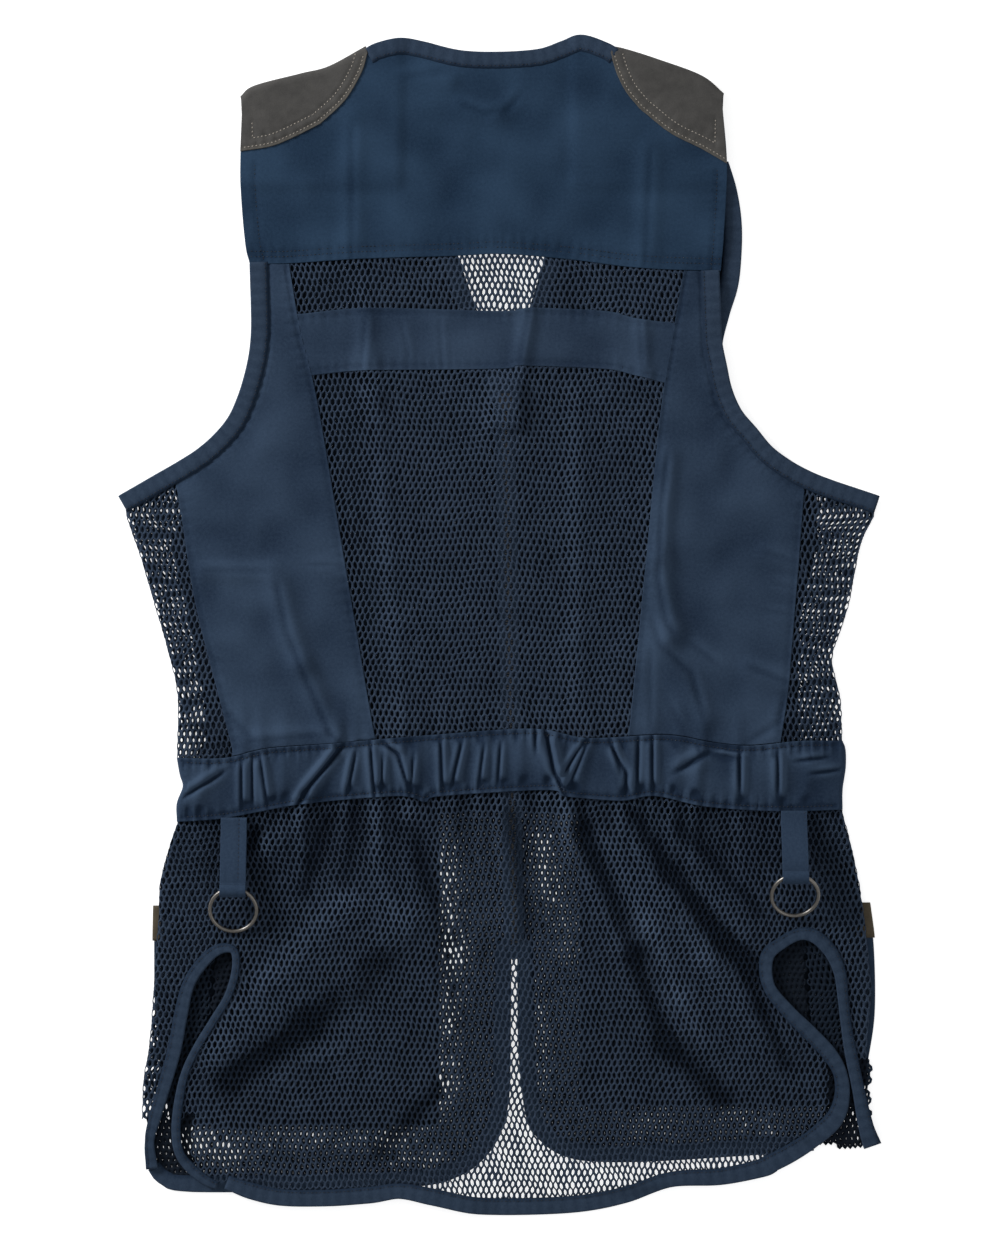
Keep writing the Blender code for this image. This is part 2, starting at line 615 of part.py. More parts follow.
def back_panel(side):
    """Cotton panel from the yoke and the armhole down to the waist."""
    turn = -SIDES[side]
    reach = TAPE + HIDDEN_SEAM
    outer_seam = spline(BACK_SEAM[side], 9) + [turn * SEAM, 0.0]
    armhole = tape_edge(ARMHOLE[side], turn * reach, 40)
    armhole = armhole[np.abs(armhole[:, 0]) < abs(outer_seam[0, 0]) - 2.0]
    armhole = resample(armhole, 13)
    outer = np.vstack([armhole, outer_seam])[::-1]
    edge = spline(WAIST_TOP, 80)
    waist_at = lambda x: np.interp(x, edge[:, 0], edge[:, 1]) + HIDDEN_SEAM
    yoke_edge = spline(YOKE_BOTTOM, 60)
    yoke_at = lambda x: np.interp(x, yoke_edge[:, 0], yoke_edge[:, 1]) - SEAM
    inner = spline(NET_SEAM[side], len(outer))[::-1] + [SIDES[side] * 0.2, 0.0]
    inner[0, 1] = waist_at(inner[0, 0])
    inner[-1, 1] = yoke_at(inner[-1, 0])
    outer[0, 1] = waist_at(outer[0, 0])
    outer[-1, 1] = yoke_at(outer[-1, 0])
    bottom = line(outer[0], inner[0], 7)
    bottom[:, 1] = waist_at(bottom[:, 0])
    top = line(outer[-1], inner[-1], 7)
    top[:, 1] = yoke_at(top[:, 0])
    cloth("back_panel_" + side, [on_back(patch(bottom, top, outer, inner), COTTON)], NAVY)


def tape_edge(points, shift, count, ends=(0.0, 1.0)):
    """Curve beside an outline, shift mm to the left of its way."""
    centre = spline(points, count, ends)
    way = np.gradient(centre, axis=0)
    way = way / np.linalg.norm(way, axis=1, keepdims=True)
    return centre + np.column_stack([-way[:, 1], way[:, 0]]) * shift


def tape_rows(points, shift, width, count, ends=(0.0, 1.0)):
    """Rows x, y, width of a tape whose centre line lies beside an outline."""
    return [(x, y, width) for x, y in tape_edge(points, shift, count, ends)]


def armhole_tapes(side):
    """Binding of the armhole, once on the back and once on the front layer."""
    turn = -SIDES[side]
    rows = tape_rows(ARMHOLE[side], turn * TAPE / 2, TAPE, 14)
    cloth("armhole_binding_" + side, [tape(rows, 24, back_face)], NAVY)
    rows = tape_rows(FRONT_ARMHOLE[side], turn * TAPE / 2, TAPE, 14)
    cloth("front_armhole_binding_" + side, [tape(rows, 20, front_face, PLAIN_TAPE)], NAVY)


def side_net(side):
    """Net that turns round the side fold between the back panel and the front."""
    count = 10
    back = spline(BACK_SEAM[side], count)
    fold = spline(SIDE_FOLD[side], count)
    front = front_seam(side, np.linspace(fold[0, 1] + 8.0, fold[-1, 1], count))
    waist = spline(WAIST_TOP, 80)
    back[-1, 1] = np.interp(back[-1, 0], waist[:, 0], waist[:, 1]) + HIDDEN_SEAM
    cloth("side_net_" + side, [wrap(back, fold, front, NET, columns=(3, 5, 3))], NET_NAVY)


def waist_foot():
    """Lower edge of the waistband as a line of short straight stretches."""
    return spline(WAIST_BOTTOM, WAIST_STEPS)


def waistband():
    """Gathered casing across the back, turned round both sides."""
    across = 66
    top = spline(WAIST_TOP, 400)
    bottom = waist_foot()
    rows = 4
    reach = FOLD_RADIUS + 4.0
    left_x = WAIST_SIDE["left"][0][0] + reach
    right_x = WAIST_SIDE["right"][0][0] - reach
    x = np.linspace(left_x, right_x, across)
    grid = np.zeros((rows, across, 2))
    for r, t in enumerate(np.linspace(0.0, 1.0, rows)):
        high = np.interp(x, top[:, 0], top[:, 1])
        low = np.interp(x, bottom[:, 0], bottom[:, 1])
        grid[r, :, 0] = x
        grid[r, :, 1] = low * (1 - t) + high * t
    sheets = [on_back(grid, COTTON)]
    for side, column in (("left", 0), ("right", -1)):
        back = grid[::-1, column]
        fold = spline(WAIST_SIDE[side], rows)
        fold[:, 1] = back[:, 1]
        front = front_seam(side, fold[:, 1])
        sheets.append(wrap(back, fold, front, COTTON, columns=(2, 5, 2)))
    cloth("waistband", sheets, NAVY)


def lower_net():
    """Net below the waist with a vent near each side, turned round both sides."""
    reach = FOLD_RADIUS + 2.0
    rows = 6
    foot = waist_foot() - [0.0, HIDDEN_SEAM]
    low_fold = {}
    near = {}
    border = {}
    split = {}
    for side, sign in SIDES.items():
        low_fold[side] = spline(LOW_FOLD[side], rows)
        near[side] = moved(low_fold[side], -sign * reach, 0.0)
        near[side][0, 1] = np.interp(near[side][0, 0], foot[:, 0], foot[:, 1])
        low_fold[side][0, 1] = near[side][0, 1]
        border[side] = tape_border(VENT_TAPE[side], -sign, VENT_GAP)
        split[side] = [nearest(border[side], place) for place in VENT_CORNERS[side]]
    left_apex = resample(border["left"][split["left"][0]:split["left"][1] + 1], 6)
    right_apex = resample(border["right"][split["right"][0]:split["right"][1] + 1], 7)[::-1]
    middle = spline([left_apex[-1], (-90, -222), (0, -226), (90, -224), right_apex[0]], 15)
    apex = np.vstack([line(near["left"][-1], left_apex[0], 3), left_apex[1:], middle[1:],
                      right_apex[1:], line(right_apex[-1], near["right"][-1], 3)[1:]])
    top = np.vstack([near["left"][:1], foot[1:-1], near["right"][:1]])
    sheets = [on_back(patch(apex, top, near["left"][::-1], near["right"][::-1]), NET)]
    for side, sign in SIDES.items():
        front = front_seam(side, low_fold[side][:, 1])
        sheets.append(wrap(near[side], low_fold[side], front, NET, columns=(1, 5, 2)))

        strip_fold = spline(STRIP_FOLD[side], rows)
        strip_near = moved(strip_fold, -sign * reach, 0.0)
        outer_border = border[side][:split[side][0] + 1][::-1]
        outer_border = outer_border[outer_border[:, 1] > STRIP_FOLD[side][-1][1]]
        vent_edge = resample(outer_border, rows) + [sign * HIDDEN_SEAM, 0.0]
        vent_edge[0, 0] -= sign * HIDDEN_SEAM
        limit = np.abs(strip_near[:, 0]) - SEAM
        vent_edge[:, 0] = sign * np.minimum(np.abs(vent_edge[:, 0]), limit)
        top_row = line(strip_near[0], vent_edge[0], 3)
        low_row = line(strip_near[-1], vent_edge[-1], 3)
        if side == "left":
            grid = patch(low_row, top_row, strip_near[::-1], vent_edge[::-1])
        else:
            grid = patch(low_row[::-1], top_row[::-1], vent_edge[::-1], strip_near[::-1])
        sheets.append(on_back(grid, NET))
        front = front_seam(side, strip_fold[:, 1])
        sheets.append(wrap(strip_near, strip_fold, front, NET, columns=(1, 5, 2)))

    down = {}
    for side in SIDES:
        last = nearest(border[side], VENT_FOOT[side])
        down[side] = resample(border[side][split[side][1]:last + 1], 12)
    hem = tape_border(HEM_TAPE, 1.0, VENT_GAP, 120)
    at_rows = [nearest(hem, (x, y + w / 2)) for x, y, w in HEM_TAPE[:-1]]
    low = np.vstack([down["left"][-1:], hem[at_rows], down["right"][-1:]])
    sheets.append(on_back(patch(low, middle, down["left"][::-1], down["right"][::-1]), NET))
    cloth("lower_back_net", sheets, NET_NAVY)


def front(side):
    """Cotton front: chest from the shoulder to the waist, and the flank over the pocket."""
    sign = SIDES[side]
    pocket = POCKET[side]
    top_y = YOKE_FRONT[side][1][1] - HIDDEN_SEAM
    neck = tape_border(neck_rows(side), sign, HIDDEN_SEAM, 60)
    neck = resample(neck[neck[:, 1] < top_y], 8)
    zip_y = np.linspace(140.0, WAIST_CUT, 9)
    zip_edge = np.column_stack([zip_x(zip_y) + sign * (ZIP_WIDTH / 2 + HIDDEN_SEAM), zip_y])
    inner = np.vstack([neck, zip_edge])
    seam = front_seam(side, np.linspace(76.0, WAIST_CUT, 7), HIDDEN_SEAM)
    armhole = tape_edge(FRONT_ARMHOLE[side], -sign * (TAPE + 2 * HIDDEN_SEAM), 60)
    armhole = armhole[np.abs(armhole[:, 0]) < abs(seam[0, 0]) - 1.0]
    side_edge = np.vstack([resample(armhole, 10), seam])
    top = line(side_edge[0], inner[0], 6)
    bottom = np.vstack([line(side_edge[-1], (pocket["inner"], WAIST_CUT), 4),
                        line((pocket["inner"], WAIST_CUT), inner[-1], 3)[1:]])
    sheets = [on_front(patch(bottom, top, side_edge[::-1], inner[::-1]), COTTON)]
    flank_out = front_seam(side, np.linspace(WAIST_CUT, POCKET_TOP, 4), HIDDEN_SEAM)
    flank_in = line(bottom[3], (pocket["inner"], POCKET_TOP), 4)
    flank_low = line(flank_out[-1], flank_in[-1], 4)
    sheets.append(on_front(patch(flank_low, bottom[:4], flank_out[::-1], flank_in[::-1]), COTTON))
    cloth("front_" + side, sheets, NAVY)


def front_net(side):
    """Net of the front below the waist, behind and under the pocket."""
    sign = SIDES[side]
    pocket = POCKET[side]
    gap = HIDDEN_SEAM
    high = WAIST_CUT - gap
    low = POCKET_TOP - gap
    corner_y = STRIP_FOLD[side][-1][1] - gap
    zip_edge = lambda y: (zip_x(y) + sign * (ZIP_WIDTH / 2 + gap), y)
    strip_top = line((pocket["inner"] - sign * gap, high), zip_edge(high), 3)
    strip_low = line((pocket["inner"] - sign * gap, low), zip_edge(low), 3)
    sheets = [on_front(patch(strip_low, strip_top, line(strip_low[0], strip_top[0], 3),
                             line(strip_low[-1], strip_top[-1], 3)), NET)]

    border = tape_border(FRONT_HEM_TAPE[side], -sign, 2 * gap)
    turn = nearest(border, FRONT_CORNER[side])
    rise = border[turn:][::-1]
    level = nearest(rise, (rise[-1][0], corner_y))
    outer = front_seam(side, np.linspace(low, corner_y, 6), gap)
    across = np.vstack([line(outer[0], strip_low[0], 5), strip_low[1:]])
    inner = np.vstack([strip_low[-1:], resample(rise[:level + 1], 5)])
    level_row = line(outer[-1], inner[-1], len(across))
    sheets.append(on_front(patch(level_row, across, outer[::-1], inner[::-1]), NET))

    start = nearest(border[:turn], (outer[-1][0], border[0][1]))
    hem = resample(border[start:turn + 1], len(across))
    hem_side = line(level_row[0], hem[0], 3)
    sheets.append(on_front(patch(hem, level_row, hem_side[::-1], resample(rise[level:], 3)[::-1]), NET))
    corner = line((FRONT_FOOT[side][0], corner_y), level_row[0], 3)
    foot = resample(np.vstack([[FRONT_FOOT[side]], border[:start + 1]]), 3)
    sheets.append(on_front(patch(foot, corner, line(foot[0], corner[0], 3), hem_side[::-1]), NET))
    cloth("front_net_" + side, sheets, NET_NAVY)


def neck_rows(side):
    """Rows of the tape along one side of the front neck edge."""
    return [(x, y, NECK_TAPE_WIDTH) for x, y in line(*FRONT_NECK[side], 3)]


def front_tapes(side):
    """Bindings of the front neck edge and of the front hem."""
    cloth("front_neck_binding_" + side, [tape(neck_rows(side), 8, front_face, PLAIN_TAPE)], NAVY)
    cloth("front_hem_binding_" + side, [tape(FRONT_HEM_TAPE[side], 22, front_face, PLAIN_TAPE)], NAVY)


def pocket(side):
    """Pocket on the front below the waist, with a suede corner at its mouth."""
    sign = SIDES[side]
    size = POCKET[side]
    trim_x = size["outer"] - sign * (TRIM_WIDTH + SEAM)
    trim_y = size["top"] - TRIM_HEIGHT - SEAM
    top = line((trim_x, size["top"]), (size["inner"], size["top"]), 5)
    level = line((trim_x, trim_y), (size["inner"], trim_y), 5)
    low_outer = (size["low_outer"], size["bottom"])
    edge = spline([(size["outer"], trim_y), (size["outer"] - sign * 1.0, trim_y - 50.0),
                   (size["outer"] - sign * 6.0, trim_y - 85.0), low_outer], 6)
    level_wide = np.vstack([[(size["outer"], trim_y)], level])
    low = np.vstack([[low_outer], line((trim_x, size["bottom"]), (size["inner"], size["bottom"]), 5)])
    inner = line(low[-1], level[-1], 6)
    sheets = []
    for bottom_row, top_row, outer_row, inner_row in (
        (level, top, line(level[0], top[0], 3), line(level[-1], top[-1], 3)),
        (low, level_wide, edge[::-1], inner),
    ):
        grid = patch(bottom_row, top_row, outer_row, inner_row)
        flat = np.zeros(grid.shape[:2])
        sheets.append((np.dstack([grid, flat + COTTON]), np.dstack([grid, flat])))
    cloth("pocket_" + side, sheets, NAVY)
    low_x = min(size["outer"], trim_x + sign * SEAM)
    high_x = max(size["outer"], trim_x + sign * SEAM)
    points, faces = box_points((low_x, size["top"] - TRIM_HEIGHT, 0.0), (high_x, size["top"], COTTON))
    solid("pocket_trim_" + side, points, faces, TAN)


def strap_and_ring(side):
    """Doubled strap sewn under the waistband, with a ring in its eye."""
    data = STRAPS[side]
    x = data["x"]
    tilt = radians(data["tilt"])
    wire_radius = RING_WIRE / 2
    ring_radius = RING_OUTER / 2 - wire_radius
    half_width = data["width"] / 2
    sagitta = ring_radius - (ring_radius**2 - half_width**2) ** 0.5
    arm = ring_radius - sagitta / 2
    rest_y = data["eye_y"] - (arm + ring_radius) * cos(tilt)
    spread = np.linspace(-12.0, 12.0, 9)
    ground = max(float(np.max(back_face(x + spread, np.full(9, rest_y + dy)))) for dy in (-2.0, 0.0, 3.0, 6.0)) + NET
    eye_z = ground + SEAM + wire_radius + (arm + ring_radius) * sin(tilt)

    start_z = float(np.max(back_face(x + spread, np.full(9, data["top"])))) + NET + SEAM + STRAP_WALL * 0.5
    turn_radius = EYE_RADIUS + STRAP_WALL / 2
    gap = STRAP_WALL + SEAM
    run = Vector((data["eye_y"] - data["top"], eye_z - start_z - gap / 2))
    heading = np.arctan2(run.y, -run.x)
    path = []
    opening = np.arcsin(gap / 2 / turn_radius)
    back_off = turn_radius * cos(opening)
    low_end = (data["eye_y"] + back_off * cos(heading) + gap / 2 * sin(heading),
               eye_z - back_off * sin(heading) - gap / 2 * cos(heading))
    high_end = (data["eye_y"] + back_off * cos(heading) - gap / 2 * sin(heading),
                eye_z - back_off * sin(heading) + gap / 2 * cos(heading))
    for t in np.linspace(0.0, 1.0, 6)[:-1]:
        rise = t * t * (3 - 2 * t)
        path.append((data["top"] * (1 - t) + low_end[0] * t, start_z * (1 - rise) + low_end[1] * rise))
    first = np.arctan2(low_end[1] - eye_z, low_end[0] - data["eye_y"])
    last = np.arctan2(high_end[1] - eye_z, high_end[0] - data["eye_y"])
    for angle in np.linspace(first, last - 2 * pi, 15):
        path.append((data["eye_y"] + turn_radius * cos(angle), eye_z + turn_radius * sin(angle)))
    for t in np.linspace(0.0, 1.0, 6)[1:]:
        rise = t * t * (3 - 2 * t)
        path.append((high_end[0] * (1 - t) + data["top"] * t, high_end[1] * (1 - rise) + (start_z + gap) * rise))
    path = np.array(path)
    way = np.gradient(path, axis=0)
    way = way / np.linalg.norm(way, axis=1, keepdims=True)
    off = np.column_stack([-way[:, 1], way[:, 0]]) * STRAP_WALL / 2
    outer = []
    inner = []
    for across in (-half_width, half_width):
        columns = np.full((len(path), 1), x + across)
        outer.append(np.hstack([columns, path + off]))
        inner.append(np.hstack([columns, path - off]))
    cloth("ring_strap_" + side, [(np.stack(outer, axis=1), np.stack(inner, axis=1))], NAVY)

    steps = 30
    around = 6
    points = []
    faces = []
    for i in range(steps):
        a = 2 * pi * i / steps
        for j in range(around):
            b = 2 * pi * (j + 0.5) / around
            reach = ring_radius + wire_radius * cos(b)
            flat = Vector((reach * sin(a), reach * cos(a) - arm, wire_radius * sin(b)))
            points.append(Matrix.Rotation(tilt, 3, "X") @ flat)
    for i in range(steps):
        for j in range(around):
            k = (i + 1) % steps
            m = (j + 1) % around
            faces.append((i * around + j, i * around + m, k * around + m, k * around + j))
    ring = solid("ring_" + side, points, faces, GUNMETAL, 0.4, 1.0)
    ring.location = Vector((x, data["eye_y"], eye_z)) * 0.001


def zip_parts():
    """Closed zip of the front, its slider at the neck and the pull tab under it."""
    along = np.linspace(ZIP_TOP[1] - 5.6, ZIP_END[1], 9)
    centre = np.column_stack([zip_x(along), along])
    face = front_face(centre[:, 0], centre[:, 1]) + ZIP_LIFT
    outer = []
    inner = []
    half = ZIP_WIDTH / 2
    chain = CHAIN_WIDTH / 2
    for across, bulge in ((-half, 0.0), (-chain - 0.3, 0.0), (-chain, CHAIN_BULGE), (chain, CHAIN_BULGE),
                          (chain + 0.3, 0.0), (half, 0.0)):
        xy = centre + [across, 0.0]
        outer.append(np.column_stack([xy, face + 0.9 + bulge]))
        inner.append(np.column_stack([xy, face - bulge]))
    cloth("zip", [(np.stack(outer, axis=1), np.stack(inner, axis=1))], ZIP_GREY)

    outline = [(-3.6, 5.0), (3.6, 5.0), (4.4, 1.5), (3.2, -5.0), (-3.2, -5.0), (-4.4, 1.5)]
    n = len(outline)
    points = [(px, py, z) for z in (SLIDER_LOW, SLIDER_LOW + SLIDER_THICK) for px, py in outline]
    faces = [tuple(range(n)), tuple(range(n, 2 * n))]
    faces += [(i, (i + 1) % n, n + (i + 1) % n, n + i) for i in range(n)]
    slider = solid("zip_slider", points, faces, GUNMETAL, 0.4, 1.0)
    slider.location = Vector((*ZIP_TOP, 0.0)) * 0.001

    arch = []
    for radius in (BAIL_INNER, BAIL_INNER + BAIL_WALL):
        turn = np.linspace(0.0, pi, 9)
        arch.append([(radius, SLIDER_LOW - SEAM)]
                    + [(radius * cos(a), PULL_Z - radius * sin(a)) for a in turn]
                    + [(-radius, SLIDER_LOW - SEAM)])
    m = len(arch[0])
    points = []
    for side_x in (-BAIL_WALL, BAIL_WALL):
        for ring in arch:
            points += [(side_x, py, z) for py, z in ring]
    faces = []
    for i in range(m - 1):
        faces.append((i, i + 1, m + i + 1, m + i))
        faces.append((2 * m + i, 3 * m + i, 3 * m + i + 1, 2 * m + i + 1))
        faces.append((i, 2 * m + i, 2 * m + i + 1, i + 1))
        faces.append((m + i, m + i + 1, 3 * m + i + 1, 3 * m + i))
    for i in (0, m - 1):
        faces.append((i, m + i, 3 * m + i, 2 * m + i))
    bail = solid("zip_bail", points, faces, GUNMETAL, 0.4, 1.0)
    bail.location = Vector((*ZIP_TOP, 0.0)) * 0.001

    columns = [-PULL_WIDTH / 2, -PULL_WINDOW / 2, PULL_WINDOW / 2, PULL_WIDTH / 2]
    levels = [PULL_BAR / 2, -PULL_BAR / 2, -PULL_BAR / 2 - 3.2, -PULL_LENGTH]
    points = [(px, py, z) for z in (-PULL_BAR / 2, PULL_BAR / 2) for py in levels for px in columns]
    faces = []
    for r in range(3):
        for c in range(3):
            if (r, c) != (1, 1):
                quad = (4 * r + c, 4 * r + c + 1, 4 * r + c + 5, 4 * r + c + 4)
                faces += [quad, tuple(16 + i for i in quad)]
    rim = [0, 1, 2, 3, 7, 11, 15, 14, 13, 12, 8, 4]
    hole = [5, 9, 10, 6]
    for ring in (rim, hole):
        faces += [(a, b, 16 + b, 16 + a) for a, b in zip(ring, ring[1:] + ring[:1])]
    pull = solid("zip_pull", points, faces, GUNMETAL, 0.4, 1.0)
    pull.location = Vector((*ZIP_TOP, PULL_Z)) * 0.001
    pull.rotation_euler = (radians(PULL_TILT), 0.0, 0.0)


def centre_on_origin():
    """Move the whole vest so that the middle of its box lies over the origin."""
    bpy.context.view_layer.update()
    corners = np.array([thing.matrix_world @ Vector(corner)
                        for thing in bpy.data.objects for corner in thing.bound_box])
    middle = 0.5 * (corners.min(axis=0) + corners.max(axis=0))
    for thing in bpy.data.objects:
        thing.location -= Vector((middle[0], middle[1], 0.0))


def build():
    """All the pieces of the vest."""
    for thing in list(bpy.data.objects):
        bpy.data.objects.remove(thing)
    back_yoke()
    back_middle()
    waistband()
    lower_net()
    cloth("hem_binding", [tape(HEM_TAPE, 34, back_face)], NAVY)
    cloth("neck_binding", [tape([(x, y, NECK_TAPE_WIDTH) for x, y in NECK_TAPE], 18, back_face)], NAVY)
    for side in SIDES:
        shoulder_patch(side)
        back_panel(side)
        armhole_tapes(side)
        side_net(side)
        cloth("vent_binding_" + side, [tape(VENT_TAPE[side], 38, back_face)], NAVY)
        front(side)
        front_net(side)
        front_tapes(side)
        pocket(side)
        strap_and_ring(side)
    zip_parts()
    centre_on_origin()


build()
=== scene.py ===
# %% [markdown]
# # A shooting vest laid flat
# The vest lies on a table, front side down, and we look straight down on its back. The packed
# model gives the places; this file gives the looks. Each cell makes one finish or one group of
# pieces, and every shape is worked out as whole arrays of points.

import json
from math import pi, radians

import bpy
import numpy as np
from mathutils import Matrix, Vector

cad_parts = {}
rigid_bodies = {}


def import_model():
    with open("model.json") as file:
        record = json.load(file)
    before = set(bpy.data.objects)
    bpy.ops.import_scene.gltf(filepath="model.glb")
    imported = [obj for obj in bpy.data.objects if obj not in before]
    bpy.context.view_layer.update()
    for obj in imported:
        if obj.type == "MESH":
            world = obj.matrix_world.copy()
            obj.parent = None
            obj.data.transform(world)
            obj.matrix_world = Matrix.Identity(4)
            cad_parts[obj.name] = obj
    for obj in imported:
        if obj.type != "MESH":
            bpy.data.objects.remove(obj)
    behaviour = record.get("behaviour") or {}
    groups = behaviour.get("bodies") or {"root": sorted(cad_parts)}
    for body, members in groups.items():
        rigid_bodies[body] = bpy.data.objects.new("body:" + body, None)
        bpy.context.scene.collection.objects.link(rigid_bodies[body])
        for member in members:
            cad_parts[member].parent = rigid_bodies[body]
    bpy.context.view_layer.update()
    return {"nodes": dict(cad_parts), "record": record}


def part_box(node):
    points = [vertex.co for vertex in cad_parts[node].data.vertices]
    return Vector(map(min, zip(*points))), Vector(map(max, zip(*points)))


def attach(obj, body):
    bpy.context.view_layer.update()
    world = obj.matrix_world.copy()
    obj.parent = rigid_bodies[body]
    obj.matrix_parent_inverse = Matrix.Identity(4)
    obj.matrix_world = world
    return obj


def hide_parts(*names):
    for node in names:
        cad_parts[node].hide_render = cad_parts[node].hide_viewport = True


for thing in list(bpy.data.objects):
    bpy.data.objects.remove(thing)
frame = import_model()

# %% [markdown]
# The tables below are in millimetres, in the pattern cutter's own frame. The zip slider has a
# known place in that frame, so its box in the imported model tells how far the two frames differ.

# %% Units and the pattern's frame
MM = 0.001
ZIP_TOP = np.array([4.0, 146.0])
ZIP_END = np.array([10.0, -210.0])
slider_low, slider_high = (np.array(corner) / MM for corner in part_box("zip_slider"))
SHIFT = 0.5 * (slider_low + slider_high)[:2] - ZIP_TOP
SIDES = {"left": -1.0, "right": 1.0}


def metres(points):
    """Points of the pattern's frame in millimetres, as metres of the model's frame."""
    points = np.array(points, float)
    points[..., 0] += SHIFT[0]
    points[..., 1] += SHIFT[1]
    return points * MM


print("shift of the pattern, mm:", SHIFT.round(3))

# %% [markdown]
# The photo is 1000 by 1250 pixels and one pixel is 0.655 mm of the vest. A camera straight
# above the middle of the frame, far enough away to flatten the view, sees just that much when
# its lens is the sensor's long side times distance over the frame's long side.

# %% Camera
PIXEL = 0.655
FRAME_PIXELS = (1000, 1250)
VEST_PIXEL = (499.0, 624.5)
CAMERA_HEIGHT = 2400.0
SENSOR = 36.0

camera_data = bpy.data.cameras.new("camera")
camera_data.sensor_width = SENSOR
camera_data.lens = SENSOR * CAMERA_HEIGHT / (FRAME_PIXELS[1] * PIXEL)
camera = bpy.data.objects.new("camera", camera_data)
bpy.context.collection.objects.link(camera)
centre_x = (FRAME_PIXELS[0] / 2 - VEST_PIXEL[0]) * PIXEL
centre_y = (VEST_PIXEL[1] - FRAME_PIXELS[1] / 2) * PIXEL
camera.location = metres([centre_x, centre_y, CAMERA_HEIGHT])
bpy.context.scene.camera = camera
print("lens, mm:", round(camera_data.lens, 1))

# %% [markdown]
# One class wraps a shader socket, so that sums of sockets read as sums of numbers. Another
# holds a material and makes any node from its type, its settings and its sockets' values.

# %% Shader sums


class Term:
    """A socket's value in a sum: an expression on terms adds its Math nodes."""

    def __init__(self, finish, socket):
        self.finish = finish
        self.socket = socket

    def combine(self, operation, first, second):
        return self.finish.node("ShaderNodeMath", {"operation": operation}, {0: first, 1: second})

    def __add__(self, other):
        return self.combine("ADD", self, other)

    def __sub__(self, other):
        return self.combine("SUBTRACT", self, other)

    def __rsub__(self, other):
        return self.combine("SUBTRACT", other, self)

    def __mul__(self, other):
        return self.combine("MULTIPLY", self, other)

    def sine(self):
        return self.combine("SINE", self, 0.0)

    def clamped(self):
        return self.finish.node("ShaderNodeClamp", {}, {0: self, 1: 0.0, 2: 1.0})

    __radd__ = __add__
    __rmul__ = __mul__


class Finish:
    """A material whose nodes are made by one method."""

    def __init__(self, name):
        self.material = bpy.data.materials.new(name)
        self.material.use_nodes = True
        self.tree = self.material.node_tree
        self.shader = self.tree.nodes["Principled BSDF"]

    def node(self, kind, settings, values, output=0):
        """A node of a type: its settings first, then its sockets' values or links."""
        made = self.tree.nodes.new(kind)
        for setting, value in settings.items():
            setattr(made, setting, value)
        self.fill(made, values)
        return Term(self, made.outputs[output])

    def fill(self, made, values):
        """Set or link a node's sockets, named by their name or their number."""
        for socket, value in values.items():
            if isinstance(value, Term):
                self.tree.links.new(value.socket, made.inputs[socket])
            else:
                made.inputs[socket].default_value = value

    def mix(self, share, first, second):
        """Colour between two colours."""
        return self.node("ShaderNodeMix", {"data_type": "RGBA"}, {0: share, 6: first, 7: second}, 2)

    def noise(self, place, per_metre, detail=3.0, roughness=0.55):
        """Soft noise with so many lumps to the metre, from 0 to 1."""
        values = {"Vector": place, "Scale": per_metre, "Detail": detail, "Roughness": roughness}
        return self.node("ShaderNodeTexNoise", {}, values)

    def cloth_place(self):
        """The piece's own UV map, which holds metres along and across the cloth."""
        return self.node("ShaderNodeUVMap", {"uv_map": "cloth"}, {})

    def attribute(self, name):
        """A value that the mesh carries at its points."""
        return self.node("ShaderNodeAttribute", {"attribute_name": name}, {}, 2)

    def bump(self, height, strength, distance):
        """A small relief that feeds the shader's normal."""
        values = {"Strength": strength, "Distance": distance, "Height": height}
        self.fill(self.shader, {"Normal": self.node("ShaderNodeBump", {}, values)})


# %% [markdown]
# Cotton twill: diagonal ribs about 0.9 mm apart, broken up by the yarn's own unevenness. The
# relief of each point, which the mesh carries, paints light and shade into the colour: a
# little paler on raised folds and puckers and deeper in the troughs. The fronts' inner face
# is painted nearly black, painted shade for all that lies behind the back's net, and the
# mesh says edge on their outer face, which is navy.

# %% Cotton, binding and thread
TWILL_PITCH = 0.9 * MM


def cotton(name, dark, light, rim=None):
    """Matt twill cotton between two tones, with painted light and shade from the mesh's relief, and another
    tone where the mesh says edge.
    """
    finish = Finish(name)
    place = finish.cloth_place()
    axes = finish.tree.nodes.new("ShaderNodeSeparateXYZ")
    finish.fill(axes, {0: place})
    across, along = Term(finish, axes.outputs[0]), Term(finish, axes.outputs[1])
    ribs = ((across + along) * (2 * pi / TWILL_PITCH) + finish.noise(place, 900.0) * 3.0).sine()
    yarn = finish.noise(place, 1400.0, 2.0)
    patches = finish.noise(place, 28.0, 4.0)
    slub = finish.noise(place, 520.0, 2.0, 0.7)
    # The relief term paints light on raised cloth and shade in its troughs.
    tone = (yarn * 0.45 + slub * 0.7 + patches * 0.25 + finish.attribute("relief") * 0.4 - 0.22).clamped()
    colour = finish.mix(tone, (*dark, 1.0), (*light, 1.0))
    if rim is not None:
        colour = finish.mix(finish.attribute("edge"), colour, (*rim, 1.0))
    finish.fill(finish.shader, {
        "Base Color": colour,
        "Roughness": 0.9,
        "Specular IOR Level": 0.08,
    })
    finish.bump(ribs * 0.5 + yarn, 0.5, 0.12 * MM)
    return finish.material


def thread(name, colour):
    """Sewing thread, slightly glossy."""
    finish = Finish(name)
    strands = finish.noise(finish.cloth_place(), 3000.0, 1.0)
    finish.fill(finish.shader, {
        "Base Color": finish.mix(strands, (*colour, 1.0), (*[0.6 * c for c in colour], 1.0)),
        "Roughness": 0.6,
    })
    return finish.material


